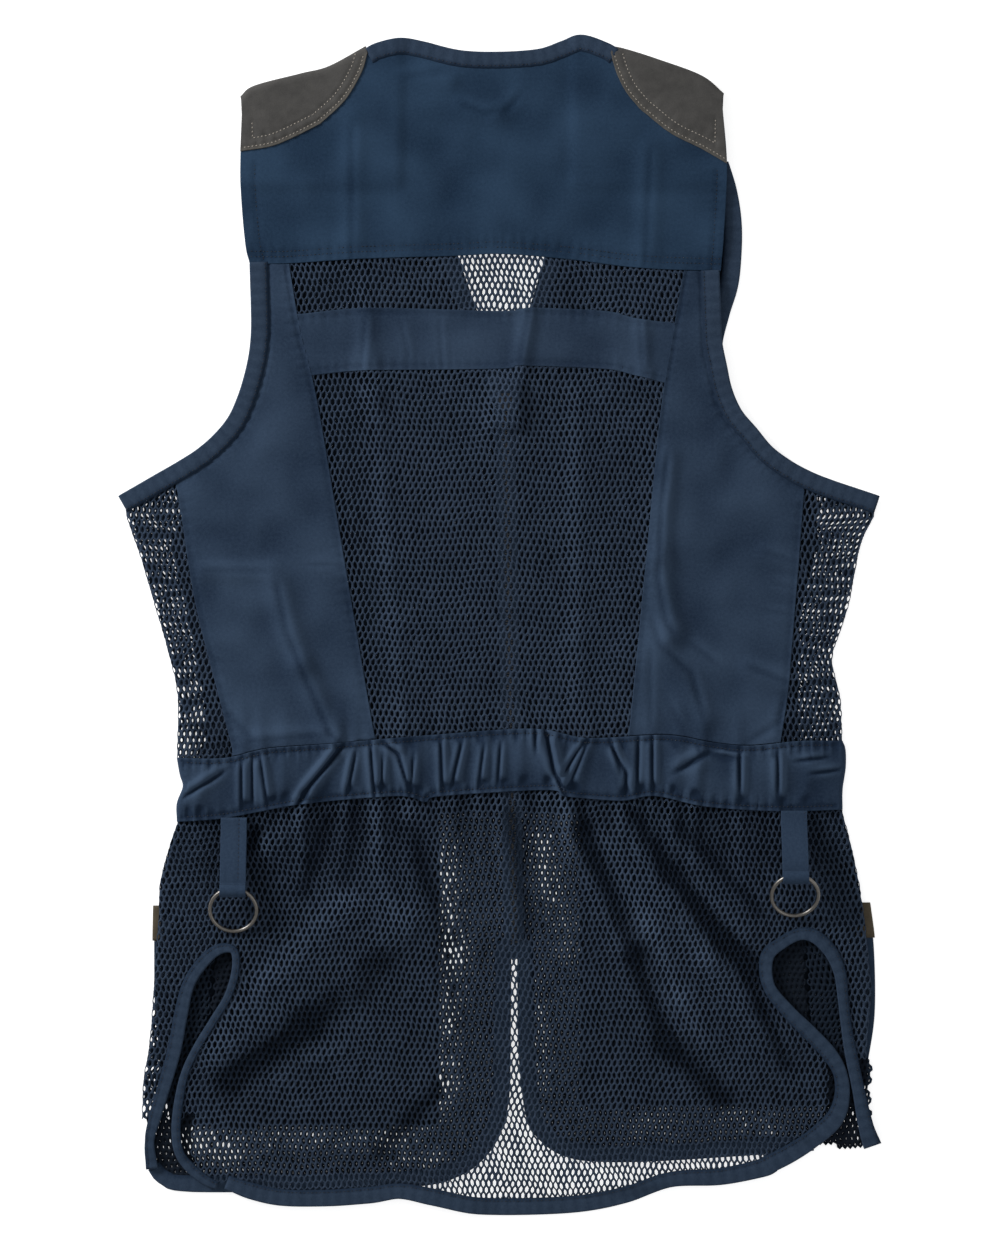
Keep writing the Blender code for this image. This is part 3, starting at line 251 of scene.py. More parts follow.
COTTON = cotton("cotton twill", (0.0120, 0.0235, 0.047), (0.041, 0.068, 0.115))
YOKE_COTTON = cotton("yoke twill", (0.0095, 0.0235, 0.049), (0.029, 0.060, 0.110))
BINDING = cotton("binding twill", (0.0140, 0.0260, 0.049), (0.044, 0.069, 0.112))
# The fronts' two tones here are painted shade, nearly black; the edge tone is the navy of their outer face.
INNER_COTTON_PAINTED_SHADE = cotton("inner face", (0.0020, 0.0040, 0.0075), (0.0050, 0.0090, 0.0160), (0.024, 0.042, 0.074))
NAVY_THREAD = thread("navy thread", (0.0065, 0.013, 0.027))
TAN_THREAD = thread("tan thread", (0.420, 0.380, 0.330))

# %% [markdown]
# The net is knitted from a thick soft cord. Its strands are real geometry further down, so the
# finish only needs the cord's fuzz, a slow change of tone, and painted light and shade: the
# relief that the mesh carries makes fold crowns paler and valleys darker, and where the mesh
# says edge the back's net takes a darker tone of painted shade. The front nets are painted
# nearly black as painted shade, and only their strands' down face is navy.

# %% Net cord


def net_cord(name, dark, light, under):
    """Knitted cord with a fine fuzz, painted light and shade from the mesh's relief, and another tone where
    the mesh says edge.
    """
    finish = Finish(name)
    place = finish.cloth_place()
    fuzz = finish.noise(place, 1900.0, 2.0)
    cloudy = finish.noise(place, 35.0, 3.0) * 0.4
    # The relief term paints light on fold crowns and shade in valleys.
    tone = (fuzz * 0.9 + cloudy + finish.attribute("relief") * 0.5 - 0.25).clamped()
    colour = finish.mix(tone, (*dark, 1.0), (*light, 1.0))
    finish.fill(finish.shader, {
        "Base Color": finish.mix(finish.attribute("edge"), colour, (*under, 1.0)),
        "Roughness": 0.85,
        "Specular IOR Level": 0.1,
    })
    finish.bump(fuzz, 0.6, 0.15 * MM)
    return finish.material


# The back's net: its third tone is painted shade for the half folded under the front. The front net: its two
# tones are painted shade, nearly black, and its third tone is the navy of its strands' down face.
NET = net_cord("net cord", (0.0065, 0.0120, 0.0230), (0.059, 0.089, 0.145), (0.0080, 0.0140, 0.0250))
FRONT_NET_PAINTED_SHADE = net_cord("front net cord", (0.0030, 0.0055, 0.0100), (0.008, 0.013, 0.023), (0.024, 0.042, 0.072))

# %% [markdown]
# Suede has a nap that lies this way and that, which reads as soft blotches, with a fine grain
# over them. Near the sewn edge it is rubbed brown; the mesh carries how near an edge is.

# %% Suede


def suede(name, dark, light, worn):
    """Napped leather, browner towards its sewn edge."""
    finish = Finish(name)
    place = finish.cloth_place()
    nap = finish.noise(place, 110.0, 5.0, 0.65)
    grain = finish.noise(place, 1100.0, 3.0)
    tone = (nap * 1.3 + grain * 0.5 - 0.42).clamped()
    napped = finish.mix(tone, (*dark, 1.0), (*light, 1.0))
    rubbed = (finish.attribute("edge") * (nap + 0.35)).clamped()
    finish.fill(finish.shader, {
        "Base Color": finish.mix(rubbed, napped, (*worn, 1.0)),
        "Roughness": 0.95,
        "Specular IOR Level": 0.1,
    })
    finish.bump(grain + nap, 0.6, 0.2 * MM)
    return finish.material


GREY_SUEDE = suede("grey suede", (0.048, 0.047, 0.046), (0.093, 0.090, 0.086), (0.096, 0.090, 0.080))
TAN_SUEDE = suede("tan suede", (0.062, 0.050, 0.034), (0.118, 0.098, 0.070), (0.120, 0.100, 0.072))

# %% [markdown]
# The rings, the slider and the pull tab are steel with a dark plating. Metal is all
# reflection, so small changes of roughness do more for it than changes of colour.

# %% Metal and zip


def metal(name, colour, roughness):
    """Plated metal with faint rubbing marks, on Object coordinates."""
    finish = Finish(name)
    place = finish.node("ShaderNodeTexCoord", {}, {}, 3)
    marks = finish.noise(place, 600.0, 4.0)
    finish.fill(finish.shader, {
        "Base Color": finish.mix(marks, (*colour, 1.0), (*[1.5 * c for c in colour], 1.0)),
        "Metallic": 1.0,
        "Roughness": marks * 0.25 + roughness,
    })
    finish.bump(marks, 0.3, 0.05 * MM)
    return finish.material


GUNMETAL = metal("gunmetal", (0.150, 0.142, 0.132), 0.26)
ZIP_METAL = metal("zip metal", (0.090, 0.090, 0.092), 0.22)

# %% [markdown]
# The floor glows a little by itself, as a light table does. Through two layers of net it then
# still shows white, as in the photo. Soft light comes from the sky and two large lamps.

# %% Floor and light
FLOOR_SIZE = 4000.0
FLOOR_DEPTH = 0.4


def pale_floor():
    """Flat floor just under the vest."""
    finish = Finish("floor")
    finish.fill(finish.shader, {
        "Base Color": (0.8, 0.8, 0.8, 1.0),
        "Roughness": 1.0,
        "Specular IOR Level": 0.0,
        "Emission Color": (1.0, 1.0, 1.0, 1.0),
        "Emission Strength": 0.68,
    })
    half = FLOOR_SIZE / 2
    corners = [(-half, -half), (half, -half), (half, half), (-half, half)]
    mesh = bpy.data.meshes.new("floor")
    mesh.from_pydata([metres([x, y, -FLOOR_DEPTH]).tolist() for x, y in corners], [], [(0, 1, 2, 3)])
    mesh.materials.append(finish.material)
    floor = bpy.data.objects.new("floor", mesh)
    bpy.context.collection.objects.link(floor)


def lamp(name, place, size, power):
    """Square soft lamp that faces the vest."""
    data = bpy.data.lights.new(name, "AREA")
    data.size = size
    data.energy = power
    light = bpy.data.objects.new(name, data)
    light.location = place
    towards = -light.location
    light.rotation_euler = towards.to_track_quat("-Z", "Y").to_euler()
    bpy.context.collection.objects.link(light)


pale_floor()
lamp("key lamp", (-2.0, 1.25, 1.05), 0.7, 62.0)
lamp("fill lamp", (1.6, -0.8, 2.0), 1.6, 8.0)
world = bpy.data.worlds.new("sky")
world.use_nodes = True
world.node_tree.nodes["Background"].inputs[0].default_value = (1.0, 1.0, 1.0, 1.0)
world.node_tree.nodes["Background"].inputs[1].default_value = 0.38
bpy.context.scene.world = world
bpy.context.scene.view_settings.view_transform = "Standard"

# %% [markdown]
# Curves first. A smooth curve runs through a few chosen points: between two of them it is the
# cubic whose slope at each end is that of the line between its neighbours. Any curve can then
# be walked at shares of its length.

# %% Curves


def walk(points, shares):
    """Points at given shares of a line's length, by linear steps between its points."""
    points = np.asarray(points, float)
    steps = np.concatenate([[0.0], np.cumsum(np.linalg.norm(np.diff(points, axis=0), axis=1))])
    shares = np.asarray(shares, float) * steps[-1]
    return np.column_stack([np.interp(shares, steps, points[:, k]) for k in range(points.shape[1])])


def length_of(points):
    """Length of a line of points."""
    return float(np.linalg.norm(np.diff(np.asarray(points, float), axis=0), axis=1).sum())


def spline(points, count=200, ends=(0.0, 1.0)):
    """Smooth curve: 0.5 (2b + (c-a)t + (2a-5b+4c-d)t^2 + (3b-a-3c+d)t^3) between b and c."""
    knots = np.array([p[:2] for p in points], float)
    row = np.vstack([2 * knots[0] - knots[1], knots, 2 * knots[-1] - knots[-2]])
    a, b, c, d = row[:-3, None], row[1:-2, None], row[2:-1, None], row[3:, None]
    t = np.linspace(0.0, 1.0, 16, endpoint=False)[None, :, None]
    fine = 0.5 * (2 * b + (c - a) * t + (2 * a - 5 * b + 4 * c - d) * t**2 + (3 * b - a - 3 * c + d) * t**3)
    fine = np.vstack([fine.reshape(-1, 2), knots[-1:]])
    return walk(fine, np.linspace(ends[0], ends[1], count))


def line(start, end, count=2):
    """Points at equal steps on a straight line."""
    t = np.linspace(0.0, 1.0, count)[:, None]
    return np.array(start, float) * (1 - t) + np.array(end, float) * t


def left_hand(points):
    """Unit vectors to the left of a line's way."""
    way = np.gradient(np.asarray(points, float), axis=0)
    way = way / np.maximum(np.linalg.norm(way, axis=1, keepdims=True), 1e-9)
    return np.column_stack([-way[:, 1], way[:, 0]])


def beside(points, shift, count=200):
    """Curve beside an outline, shift mm to the left of its way."""
    centre = spline(points, count)
    return centre + left_hand(centre) * shift


def tape_line(rows, count):
    """Centre line and width of a tape given by rows x, y, width."""
    centre = spline(rows, count)
    fine = spline(rows, 16 * len(rows))
    steps = np.concatenate([[0.0], np.cumsum(np.hypot(*np.diff(fine, axis=0).T))])
    at_rows = [steps[np.argmin(np.hypot(*(fine - np.array(row[:2])).T))] for row in rows]
    width = np.interp(np.linspace(0.0, steps[-1], count), at_rows, [row[2] for row in rows])
    return centre, width[:, None]


def tape_border(rows, hand, gap):
    """Edge of a tape on its left hand (+1) or right hand (-1), gap mm outside it."""
    centre, width = tape_line(rows, 300)
    return centre + left_hand(centre) * hand * (width / 2 + gap)


def nearest(points, place):
    """Index of the point of a line that is nearest to a place."""
    return int(np.argmin(np.hypot(*(points - np.array(place, float)).T)))


# %% [markdown]
# The outlines of the pattern, measured on the photo and turned into millimetres. They are the
# same curves that the solids were cut by, each with only the points that its shape needs.

# %% Outlines of the pattern
SIDE_FOLD = {
    "left": [(-244.5, 71.4), (-240, 58), (-235, 44), (-228, 20), (-219, -11), (-211, -45), (-211, -86.4)],
    "right": [(246, 71), (237, 51), (229, 12), (219, -19), (220, -32), (224, -50), (225, -74.6)],
}
BACK_SEAM = {
    "left": [(-211.3, 90.8), (-209, 80), (-199, 16), (-186, -36), (-174, -82)],
    "right": [(199.7, 87.2), (199, 80), (194, 16), (189, -43), (184, -76)],
}
NET_SEAM = {
    "left": [(-137, 234), (-130, 193), (-119, 147), (-101, 42), (-83, -63), (-80, -76)],
    "right": [(121, 232), (113, 186), (105, 134), (96, 42), (86, -60), (84, -73)],
}
ARMHOLE = {
    "left": [(-163, 236.8), (-162, 193), (-165, 169), (-172, 146), (-181, 130), (-198, 114),
             (-223, 99), (-249, 84)],
    "right": [(144, 231.8), (146, 183), (149, 169), (155, 146), (167, 130), (181, 114), (206, 99),
              (249, 84)],
}
FRONT_ARMHOLE = {
    "left": [(-158, 302), (-159, 260), (-158, 200), (-161, 169), (-169, 143), (-180, 127), (-222, 98),
             (-241, 87)],
    "right": [(150, 303), (157, 278), (159, 252), (156, 219), (146.5, 188), (148.5, 168), (154, 146),
              (166, 129.5),
              (180, 113.5), (205, 98.5), (241, 86.5)],
}
WAIST_TOP = [(-211, -87), (-179, -87), (-152, -81), (-114, -78), (-43, -72), (22, -68), (58, -74),
             (109, -72), (140, -77), (164, -79), (196, -76), (225, -76)]
WAIST_BOTTOM = [(-211, -129), (-182, -127), (-160, -123), (-126, -117), (-66, -112), (-48, -116),
                (-38, -112),
                (32, -108), (43, -112), (79, -115), (102, -112), (136, -119), (183, -122), (225, -121)]
WAIST_SIDE = {
    "left": [(-211, -87), (-209, -98), (-207, -106), (-211, -117), (-211, -129)],
    "right": [(225, -76), (227, -82), (227, -94), (225, -108), (225, -121)],
}
LOW_FOLD = {
    "left": [(-211, -130), (-216, -145), (-222, -168), (-223, -190), (-225, -217), (-228, -262),
             (-230, -280), (-233, -298), (-234, -321)],
    "right": [(225, -122), (231, -145), (236, -169), (240, -197), (243, -226), (244, -240),
              (242, -264), (240.5, -283)],
}
FRONT_SEAM = {
    "left": [(-210, 84), (-196, 35), (-184, -15), (-177.5, -60), (-177.5, -110), (-180, -145),
             (-188, -190), (-197, -322)],
    "right": [(211, 82), (198.5, 40), (191, 5), (188.5, -30), (189, -75), (191, -125), (203, -185),
              (207, -290)],
}
YOKE_FRONT = {"left": [(-166, 304), (-74, 336)], "right": [(145, 306), (72.5, 336)]}
FRONT_NECK = {"left": [(-79, 372), (-2.7, 155.5)], "right": [(76.5, 373), (10.0, 155.5)]}
BAND_TOP = [(-130, 203), (-84, 207), (1, 205), (22, 207), (69, 205), (90, 200), (115, 197)]
BAND_BOTTOM = [(-122, 163), (-86, 166), (1, 167), (15, 169), (69, 167), (88, 163), (108, 158)]
YOKE_BOTTOM = [(-163, 236), (-138, 236), (-89, 239), (-26, 241), (1, 242), (43, 239), (92, 233), (145, 231)]
YOKE_SIDE = {
    "left": [(-163, 236), (-166, 250), (-169, 290), (-169, 340)],
    "right": [(145, 231), (147, 255), (149, 300), (147, 341)],
}
SHOULDER = {
    "left": [(-169, 345), (-160, 352), (-130, 360), (-111, 365), (-87, 378)],
    "right": [(74, 378), (83, 376), (102, 370), (132, 359), (147, 347)],
}
NECK_TAPE = [(-85, 371.5, 11), (-78, 375, 11), (-64, 378, 11), (-51, 376, 11), (-26, 370, 11),
             (1, 369, 11), (27, 371, 11),
             (43, 376.5, 11), (54, 380, 11), (69, 375, 11), (75.5, 371, 11)]
PATCH_BOTTOM = {
    "left": [(-169, 309), (-150, 312), (-137, 317), (-117, 327)],
    "right": [(92, 337), (112, 321), (132, 311), (149, 301)],
}
PATCH_INNER = {
    "left": [(-117, 327), (-101, 342), (-90, 360), (-86, 372)],
    "right": [(92, 337), (83, 348), (77, 360), (74, 372)],
}
VENT_TAPE = {
    "left": [
        # x, y, width
        (-227, -356, 8), (-228.5, -338, 6), (-225, -322, 8), (-213, -281, 9), (-208, -255, 9),
        (-203, -235, 8), (-194, -221, 8), (-183, -212, 7), (-173, -213, 5), (-172, -226, 5),
        (-177, -243, 5), (-186, -258, 5), (-197, -276, 5), (-205, -293, 5), (-209, -311, 6),
        (-211, -330, 6), (-209, -345, 6), (-202, -355, 7), (-192, -363, 6), (-184, -367, 5),
    ],
    "right": [
        (244.4, -341, 12), (240, -328, 10), (235, -304, 8), (230, -280, 8), (227, -262, 7),
        (225, -245, 7), (223, -228, 8), (217, -214, 9), (207, -204, 9), (197, -202, 8),
        (186, -207, 8), (175, -217, 9), (176, -236, 8), (188, -252, 9), (203, -267, 10),
        (216, -281, 10), (223, -294, 9), (224, -309, 10), (219, -323, 12), (205, -336, 12),
        (190, -346, 12), (174, -354, 12),
    ],
}
HEM_TAPE = [
    # x, y, width
    (-178, -364.5, 9), (-163, -370, 11), (-143, -374.5, 11), (-114, -375, 11), (-84, -373, 11),
    (-65, -370.5, 10),
    (-45, -374, 11), (-16, -380, 11), (14, -381, 11), (53, -379, 11), (83, -373, 11),
    (112, -363, 10), (145, -361, 11), (172, -355.2, 12), (179, -352, 12),
]
FRONT_HEM_TAPE = {
    "left": [
        (-226, -354.5, 9), (-219, -362, 10), (-200, -366, 11), (-100, -365, 11), (-50, -362, 11),
        (-28, -356, 11), (-14, -346, 11),
        (-4, -331, 11), (1, -310, 11), (2, -280, 11), (3, -207, 10),
    ],
    "right": [
        (206, -340, 9), (180, -341, 11), (100, -346, 11), (62, -346, 11), (45, -343, 11), (33, -336, 11),
        (24, -324, 11), (20, -300, 11), (18, -270, 11), (17, -207, 10),
    ],
}
VENT_FOOT = {"left": (-190.5, -359.5), "right": (187, -340.5)}
STRIP_END = {"left": -321.0, "right": -283.0}
FRONT_FOOT = {"left": (-229.5, -352), "right": (243, -344)}
POCKET = {
    "left": {"outer": -226.0, "inner": -39.0, "top": -184.0, "bottom": -329.0, "low_outer": -215.0,
             "rim": 223.0},
    "right": {"outer": 247.0, "inner": 53.0, "top": -182.0, "bottom": -316.0, "low_outer": 238.0,
              "rim": 236.0},
}
POCKET_CORNER = {"left": 0.6, "right": 5.0}
POCKET_TOP = -187.0
WAIST_CUT = -124.0
FLANK_TOP = {"left": -124.0, "right": -120.0}
TAPE = 12.0
TRIM_SIZE = (16.0, 23.0)
ZIP_WIDTH = 13.0

# %% [markdown]
# The vest lies in two layers. The front layer rests on the table but where a pocket, a
# shoulder patch or the zip slider lies under it. The back layer lies on the front layer, and
# rises where the cloth is gathered, folded or creased. Each fold is a ridge: its height dies
# away from its line as exp(-(distance / width)^2). A crease also has a narrow groove.

# %% Heights of the two layers
RISES = [
    # centre x, centre y, half x, half y, height
    (-133, -257, 107, 86, 1.5),
    (150, -251, 104, 82, 1.5),
    (-128, 352, 60, 62, 1.5),
    (112, 352, 60, 62, 1.5),
    (4, 144, 7, 12, 4.2),
]
FOLDS = [
    # x0, y0, x1, y1, width, height
    (-88, 215, -82, 150, 7, 2.4), (-82, 150, -62, -72, 6, 2.2), (51, 150, 51, -72, 7, 2.6),
    (20, 208, 14, 168, 5, 2.8), (93, 200, 95, 162, 5, 1.8), (-24, 340, 0, 334, 7, 2.2),
    (-96, 330, -96, 240, 7, 1.4), (98, 311, 96, 240, 8, 1.6), (-60, 359, -32, 354, 6, 1.4),
    (-145, 26, -130, -26, 9, 3.0), (-130, -26, -109, -74, 8, 3.4), (-193, 35, -150, 34, 6, 1.6),
    (-162, -76, -116, -71, 6, 1.8), (110, 110, 104, 44, 7, 2.6), (104, 44, 114, -7, 8, 3.2),
    (105, -14, 134, -62, 9, 3.0), (164, -28, 189, -38, 7, 2.2), (174, 48, 195, 39, 6, 1.6),
    (38, -116, 84, -210, 9, 4.5), (84, -210, 117, -269, 10, 4.0), (84, -129, 136, -218, 10, 4.5),
    (136, -218, 188, -279, 9, 3.0), (109, -133, 174, -185, 9, 3.4), (-181, -283, -97, -235, 10, 3.6),
    (-97, -235, -60, -196, 9, 3.4), (-160, -302, -100, -275, 8, 2.0), (-49, -129, -35, -206, 9, 3.0),
    (-158, -150, -130, -129, 8, 2.6), (2, -122, 10, -200, 9, 2.6), (4, 160, 4, 130, 17, 3.6),
]
CREASES = [
    # x0, y0, x1, y1, width, height
    (-87, 203, -90, 165, 3, 1.0), (-39, 202, -37, 169, 2.5, 0.7), (-64, 198, -58, 171, 2.5, 0.7),
    (20, 209, 13, 169, 3.5, 1.2), (92, 200, 94, 163, 3, 0.9), (-65, 357, -32, 362, 5, 0.9),
    (-24, 340, -9, 334, 4, 1.2), (-9, 334, 1, 336, 4, 1.2), (-96, 327, -96, 237, 5, 1.0),
    (99, 311, 96, 237, 5, 1.1), (1, 332, 14, 346, 4, 1.1),
    (-145, 27, -139, -3, 4.5, 1.6), (-139, -3, -130, -26, 4.5, 1.6), (-130, -26, -109, -74, 4.5, 1.6),
    (-193, 35, -147, 35, 4, 1.0), (-122, 39, -107, 39, 3, 0.8), (-162, -76, -116, -72, 4, 1.0),
    (-114, -68, -99, -80, 3, 1.0), (-181, -53, -160, -76, 4, 1.0), (-189, -20, -179, -25, 3, 0.6),
    (-188, -36, -178, -43, 3, 0.6),
    (110, 110, 106, 77, 4, 1.8), (106, 77, 104, 30, 4, 1.8), (104, 30, 109, 2, 4, 1.8),
    (109, 2, 115, -7, 4, 1.8), (101, 2, 105, -13, 4, 1.4), (105, -13, 126, -32, 4, 1.4),
    (126, -32, 134, -61, 4, 1.4), (126, -13, 145, -28, 4, 1.2), (164, -28, 189, -38, 4.5, 1.6),
    (99, -17, 99, -68, 3, 1.0), (111, -51, 120, -68, 3, 0.9), (187, -49, 182, -65, 4, 1.2),
    (182, -65, 164, -76, 4, 1.2), (174, 47, 195, 41, 3.5, 0.9), (180, 27, 195, 23, 3, 0.8),
    (174, 9, 193, 6, 3, 0.8),
    (38, -116, 84, -211, 5, 1.5), (84, -211, 117, -269, 5, 1.5), (84, -129, 136, -218, 5, 1.5),
    (136, -218, 189, -279, 5, 1.5), (109, -133, 174, -185, 5, 1.4), (117, -120, 180, -171, 6, 1.5),
    (-181, -283, -97, -235, 5, 1.2), (-97, -235, -60, -196, 5, 1.2), (-49, -129, -41, -165, 5, 1.0),
    (-41, -165, -35, -206, 5, 1.0),
]
VALLEYS = [
    # x0, y0, x1, y1, width, depth: soft dark valleys of the lower net
    (53, -133, 88, -216, 6, 1.0), (88, -216, 110, -274, 7, 1.0), (110, -274, 147, -311, 8, 0.7),
    (88, -124, 110, -161, 6, 0.9), (110, -161, 147, -207, 7, 1.0), (147, -207, 171, -228, 7, 0.8),
    (119, -133, 171, -188, 6, 0.7), (159, -216, 171, -252, 6, 0.6), (171, -252, 187, -286, 6, 0.7),
    (-77, -216, -126, -259, 10, 0.8), (-126, -259, -175, -298, 11, 0.9), (-58, -133, -34, -207, 7, 0.7),
    (-34, -207, -30, -260, 6, 0.4), (-112, -128, -128, -175, 5, 0.6), (-95, -122, -100, -170, 5, 0.5),
    (-150, -128, -175, -160, 5, 0.5), (-37, -300, -77, -345, 6, 0.6), (10, -125, 18, -200, 6, 0.5),
]
CROWNS = [
    # x0, y0, x1, y1, width, height: the paler crowns between them
    (70, -140, 100, -200, 7, 0.7), (97, -192, 119, -243, 7, 0.9), (119, -243, 134, -274, 7, 0.7),
    (130, -170, 160, -205, 5, 0.6), (-60, -190, -100, -180, 9, 0.5), (-100, -180, -150, -230, 9, 0.8),
    (-150, -230, -185, -270, 8, 0.6), (-80, -128, -75, -180, 6, 0.4), (60, -118, 75, -150, 4, 0.4),
]
GATHERS = [
    # top_x, bottom_x, height of the ridge where it crosses the waistband
    (-204, -206, 0.8), (-186, -198, 1.2), (-168, -168, 1.8), (-156, -151, 2.2), (-140, -142, 1.2),
    (-104, -130, 3.0), (-94, -100, 2.0), (-84, -81, 2.2), (-73, -78, 1.8), (-64, -60, 2.4),
    (-54, -56, 1.8), (-38, -37, 2.0), (-24, -31, 2.0), (-10, -13, 2.2), (1, 0, 1.6), (14, 14, 1.4),
    (27, 30, 1.8), (36, 43, 3.0), (58, 47, 2.4), (73, 80, 1.8), (84, 90, 2.0), (99, 99, 1.8),
    (118, 112, 1.6), (133, 126, 2.4), (156, 156, 1.6), (182, 182, 1.8), (206, 198, 1.2),
]
PLEATS = [
    # x0, y0, x1, y1, width, height: the sharp small creases inside the casing
    (-205, -112, -181, -97, 3, 1.0), (-168, -89, -168, -119, 2.2, 1.0), (-161, -87, -161, -117, 2.2, 1.0),
    (-156, -85, -151, -119, 2.4, 1.0), (-132, -119, -124, -106, 3, 1.8), (-124, -106, -103, -80, 3, 1.8),
    (-99, -110, -94, -85, 2.4, 1.2), (-84, -76, -81, -114, 2.4, 1.2), (-73, -80, -66, -85, 2, 0.8),
    (-76, -87, -77, -110, 2.2, 1.0), (-74, -78, -66, -84, 2.4, 1.2), (-66, -84, -59, -106, 2.4, 1.2),
    (-56, -87, -58, -108, 2.2, 1.0), (-38, -74, -37, -108, 2.4, 1.2), (-24, -76, -31, -106, 2.4, 1.2),
    (-10, -80, -13, -104, 2.2, 1.0), (1, -78, -1, -106, 2.2, 1.0), (24, -66, 24, -82, 2.4, 1.0),
    (30, -68, 36, -95, 3, 1.8), (36, -95, 43, -110, 3, 1.8), (41, -99, 56, -76, 2.4, 1.2),
    (47, -102, 58, -76, 2.2, 1.0), (73, -76, 79, -95, 2.2, 1.0), (74, -80, 83, -97, 2.4, 1.2),
    (83, -97, 83, -109, 2.4, 1.2), (91, -74, 90, -106, 2.4, 1.2), (100, -72, 100, -108, 2.4, 1.2),
    (117, -95, 136, -84, 4, 1.0), (141, -82, 157, -85, 3, -0.9), (157, -84, 157, -108, 2.6, 1.4),
    (182, -83, 182, -110, 2.6, 1.2), (195, -89, 212, -87, 2.4, 0.8), (205, -97, 221, -95, 2.4, 0.8),
]
GATHER_WIDTH = 4.2
WAIST_Y = -98.0
WAIST_HALF = 26.0
LAYER_STEP = 2.8


def smooth(edge0, edge1, value):
    """Soft step from 0 at edge0 to 1 at edge1."""
    t = np.clip((np.asarray(value, float) - edge0) / (edge1 - edge0), 0.0, 1.0)
    return t * t * (3.0 - 2.0 * t)


def ridges(x, y, rows):
    """Sum of ridges, each height * exp(-(distance to its line / width)^2)."""
    lift = np.zeros(np.broadcast(x, y).shape)
    for x0, y0, x1, y1, width, height in rows:
        run = np.array([x1 - x0, y1 - y0], float)
        held = np.clip(((x - x0) * run[0] + (y - y0) * run[1]) / (run @ run), 0.0, 1.0)
        away = np.hypot(x - x0 - held * run[0], y - y0 - held * run[1])
        lift = lift + height * np.exp(-((away / width) ** 2))
    return lift


def creases(x, y, rows, groove, depth):
    """Sum of creases: a narrow groove between two soft ridges, the left one higher, faded at its ends."""
    lift = np.zeros(np.broadcast(x, y).shape)
    for x0, y0, x1, y1, width, height in rows:
        length = np.hypot(x1 - x0, y1 - y0)
        along = ((x - x0) * (x1 - x0) + (y - y0) * (y1 - y0)) / length
        right = ((x - x0) * (y1 - y0) - (y - y0) * (x1 - x0)) / length
        end = min(8.0, 0.45 * length)
        taper = smooth(-end, end, along) * smooth(length + end, length - end, along)
        beside = np.exp(-((right / width + 1.0) ** 2)) + 0.5 * np.exp(-((right / width - 1.0) ** 2))
        lift = lift + height * taper * (0.8 * beside - depth * np.exp(-((right / (groove * width)) ** 2)))
    return lift


def front_face(x, y):
    """Height of the front layer's outer face, which looks down at the table."""
    height = np.zeros(np.broadcast(x, y).shape)
    for cx, cy, half_x, half_y, rise in RISES:
        near_x = smooth(half_x + 9.0, half_x, np.abs(x - cx))
        near_y = smooth(half_y + 9.0, half_y, np.abs(y - cy))
        height = np.maximum(height, rise * near_x * near_y)
    return height


def gather_lift(x, y):
    """Ridges of the waistband and the folds that run from it into the cloth beside it."""
    down = np.clip((y - WAIST_Y) / WAIST_HALF, -1.0, 1.0)
    lift = np.zeros(np.broadcast(x, y).shape)
    for top_x, bottom_x, height in GATHERS:
        middle = 0.5 * (top_x + bottom_x) + 0.5 * (top_x - bottom_x) * down
        lift = lift + 0.8 * height * np.exp(-(((x - middle) / GATHER_WIDTH) ** 2))
    return lift * smooth(-190.0, -112.0, y) * smooth(-40.0, -84.0, y)


def rumple(x, y):
    """Slow unevenness of cloth that was handled: a sum of a few crossed waves."""
    waves = ((61, 0.3, 0.5), (43, 1.7, 0.4), (97, 2.6, 0.6), (31, 0.9, 0.22), (23, 2.2, 0.14))
    lift = np.zeros(np.broadcast(x, y).shape)
    for k, (pitch, turn, height) in enumerate(waves):
        along = x * np.cos(turn) + y * np.sin(turn)
        aside = -x * np.sin(turn) + y * np.cos(turn)
        sway = 1.5 * np.sin(2 * pi * aside / (1.7 * pitch) + k)
        lift = lift + height * np.sin(2 * pi * along / pitch + sway)
    return lift


def inner_share(x):
    """1 on the flat back and 0 at the two side folds."""
    return smooth(240.0, 205.0, x) * smooth(-228.0, -195.0, x)


def back_relief(x, y):
    """What creases and unevenness add to the back layer."""
    draped = 1.5 * ridges(x, y, CROWNS) - 1.7 * ridges(x, y, VALLEYS)
    return (0.7 * creases(x, y, CREASES, 0.5, 0.75) + 0.5 * rumple(x, y) + draped) * inner_share(x)


def back_face(x, y):
    """Height of the back layer's under face."""
    over_front = front_face(x, y) + LAYER_STEP
    puff = 1.2 * smooth(-350.0, -250.0, y) * smooth(360.0, 250.0, y)
    waist = 3.2 * np.exp(-(((y - WAIST_Y) / WAIST_HALF) ** 2))
    lift = (puff + waist + ridges(x, y, FOLDS) + gather_lift(x, y)) * inner_share(x)
    past_front = smooth(-364.0, -376.0, y) * smooth(-22.0, 0.0, x) * smooth(150.0, 120.0, x)
    return (over_front + lift) * (1.0 - past_front) + np.maximum(back_relief(x, y), -1.2) * (1.0 - past_front)


print("back layer at the middle, mm:", round(float(back_face(0.0, 0.0)), 2))

# %% [markdown]
# The nets, the casing and their seams turn round the two side folds. Each of them is first laid
# out flat, with x running on past the fold, and one function then lays any point of it: flat on
# the back, half round at the fold, and flat again, mirrored, on the front.

# %% Turn round the side folds
FOLD_REACH = 3.0
FOLD_MARGIN = 0.5
FOLD_LINE = {
    side: np.vstack([spline(SIDE_FOLD[side]), spline(WAIST_SIDE[side]), spline(LOW_FOLD[side])])[::-1]
    for side in SIDES
}


def at_height(falling, y):
    """X of a falling curve at heights y."""
    fine = spline(falling, 400)[::-1]
    return np.interp(y, fine[:, 1], fine[:, 0])


def at_width(crossing, x):
    """Y of a curve that runs to +X, at places x."""
    fine = spline(crossing, 400)
    return np.interp(x, fine[:, 0], fine[:, 1])


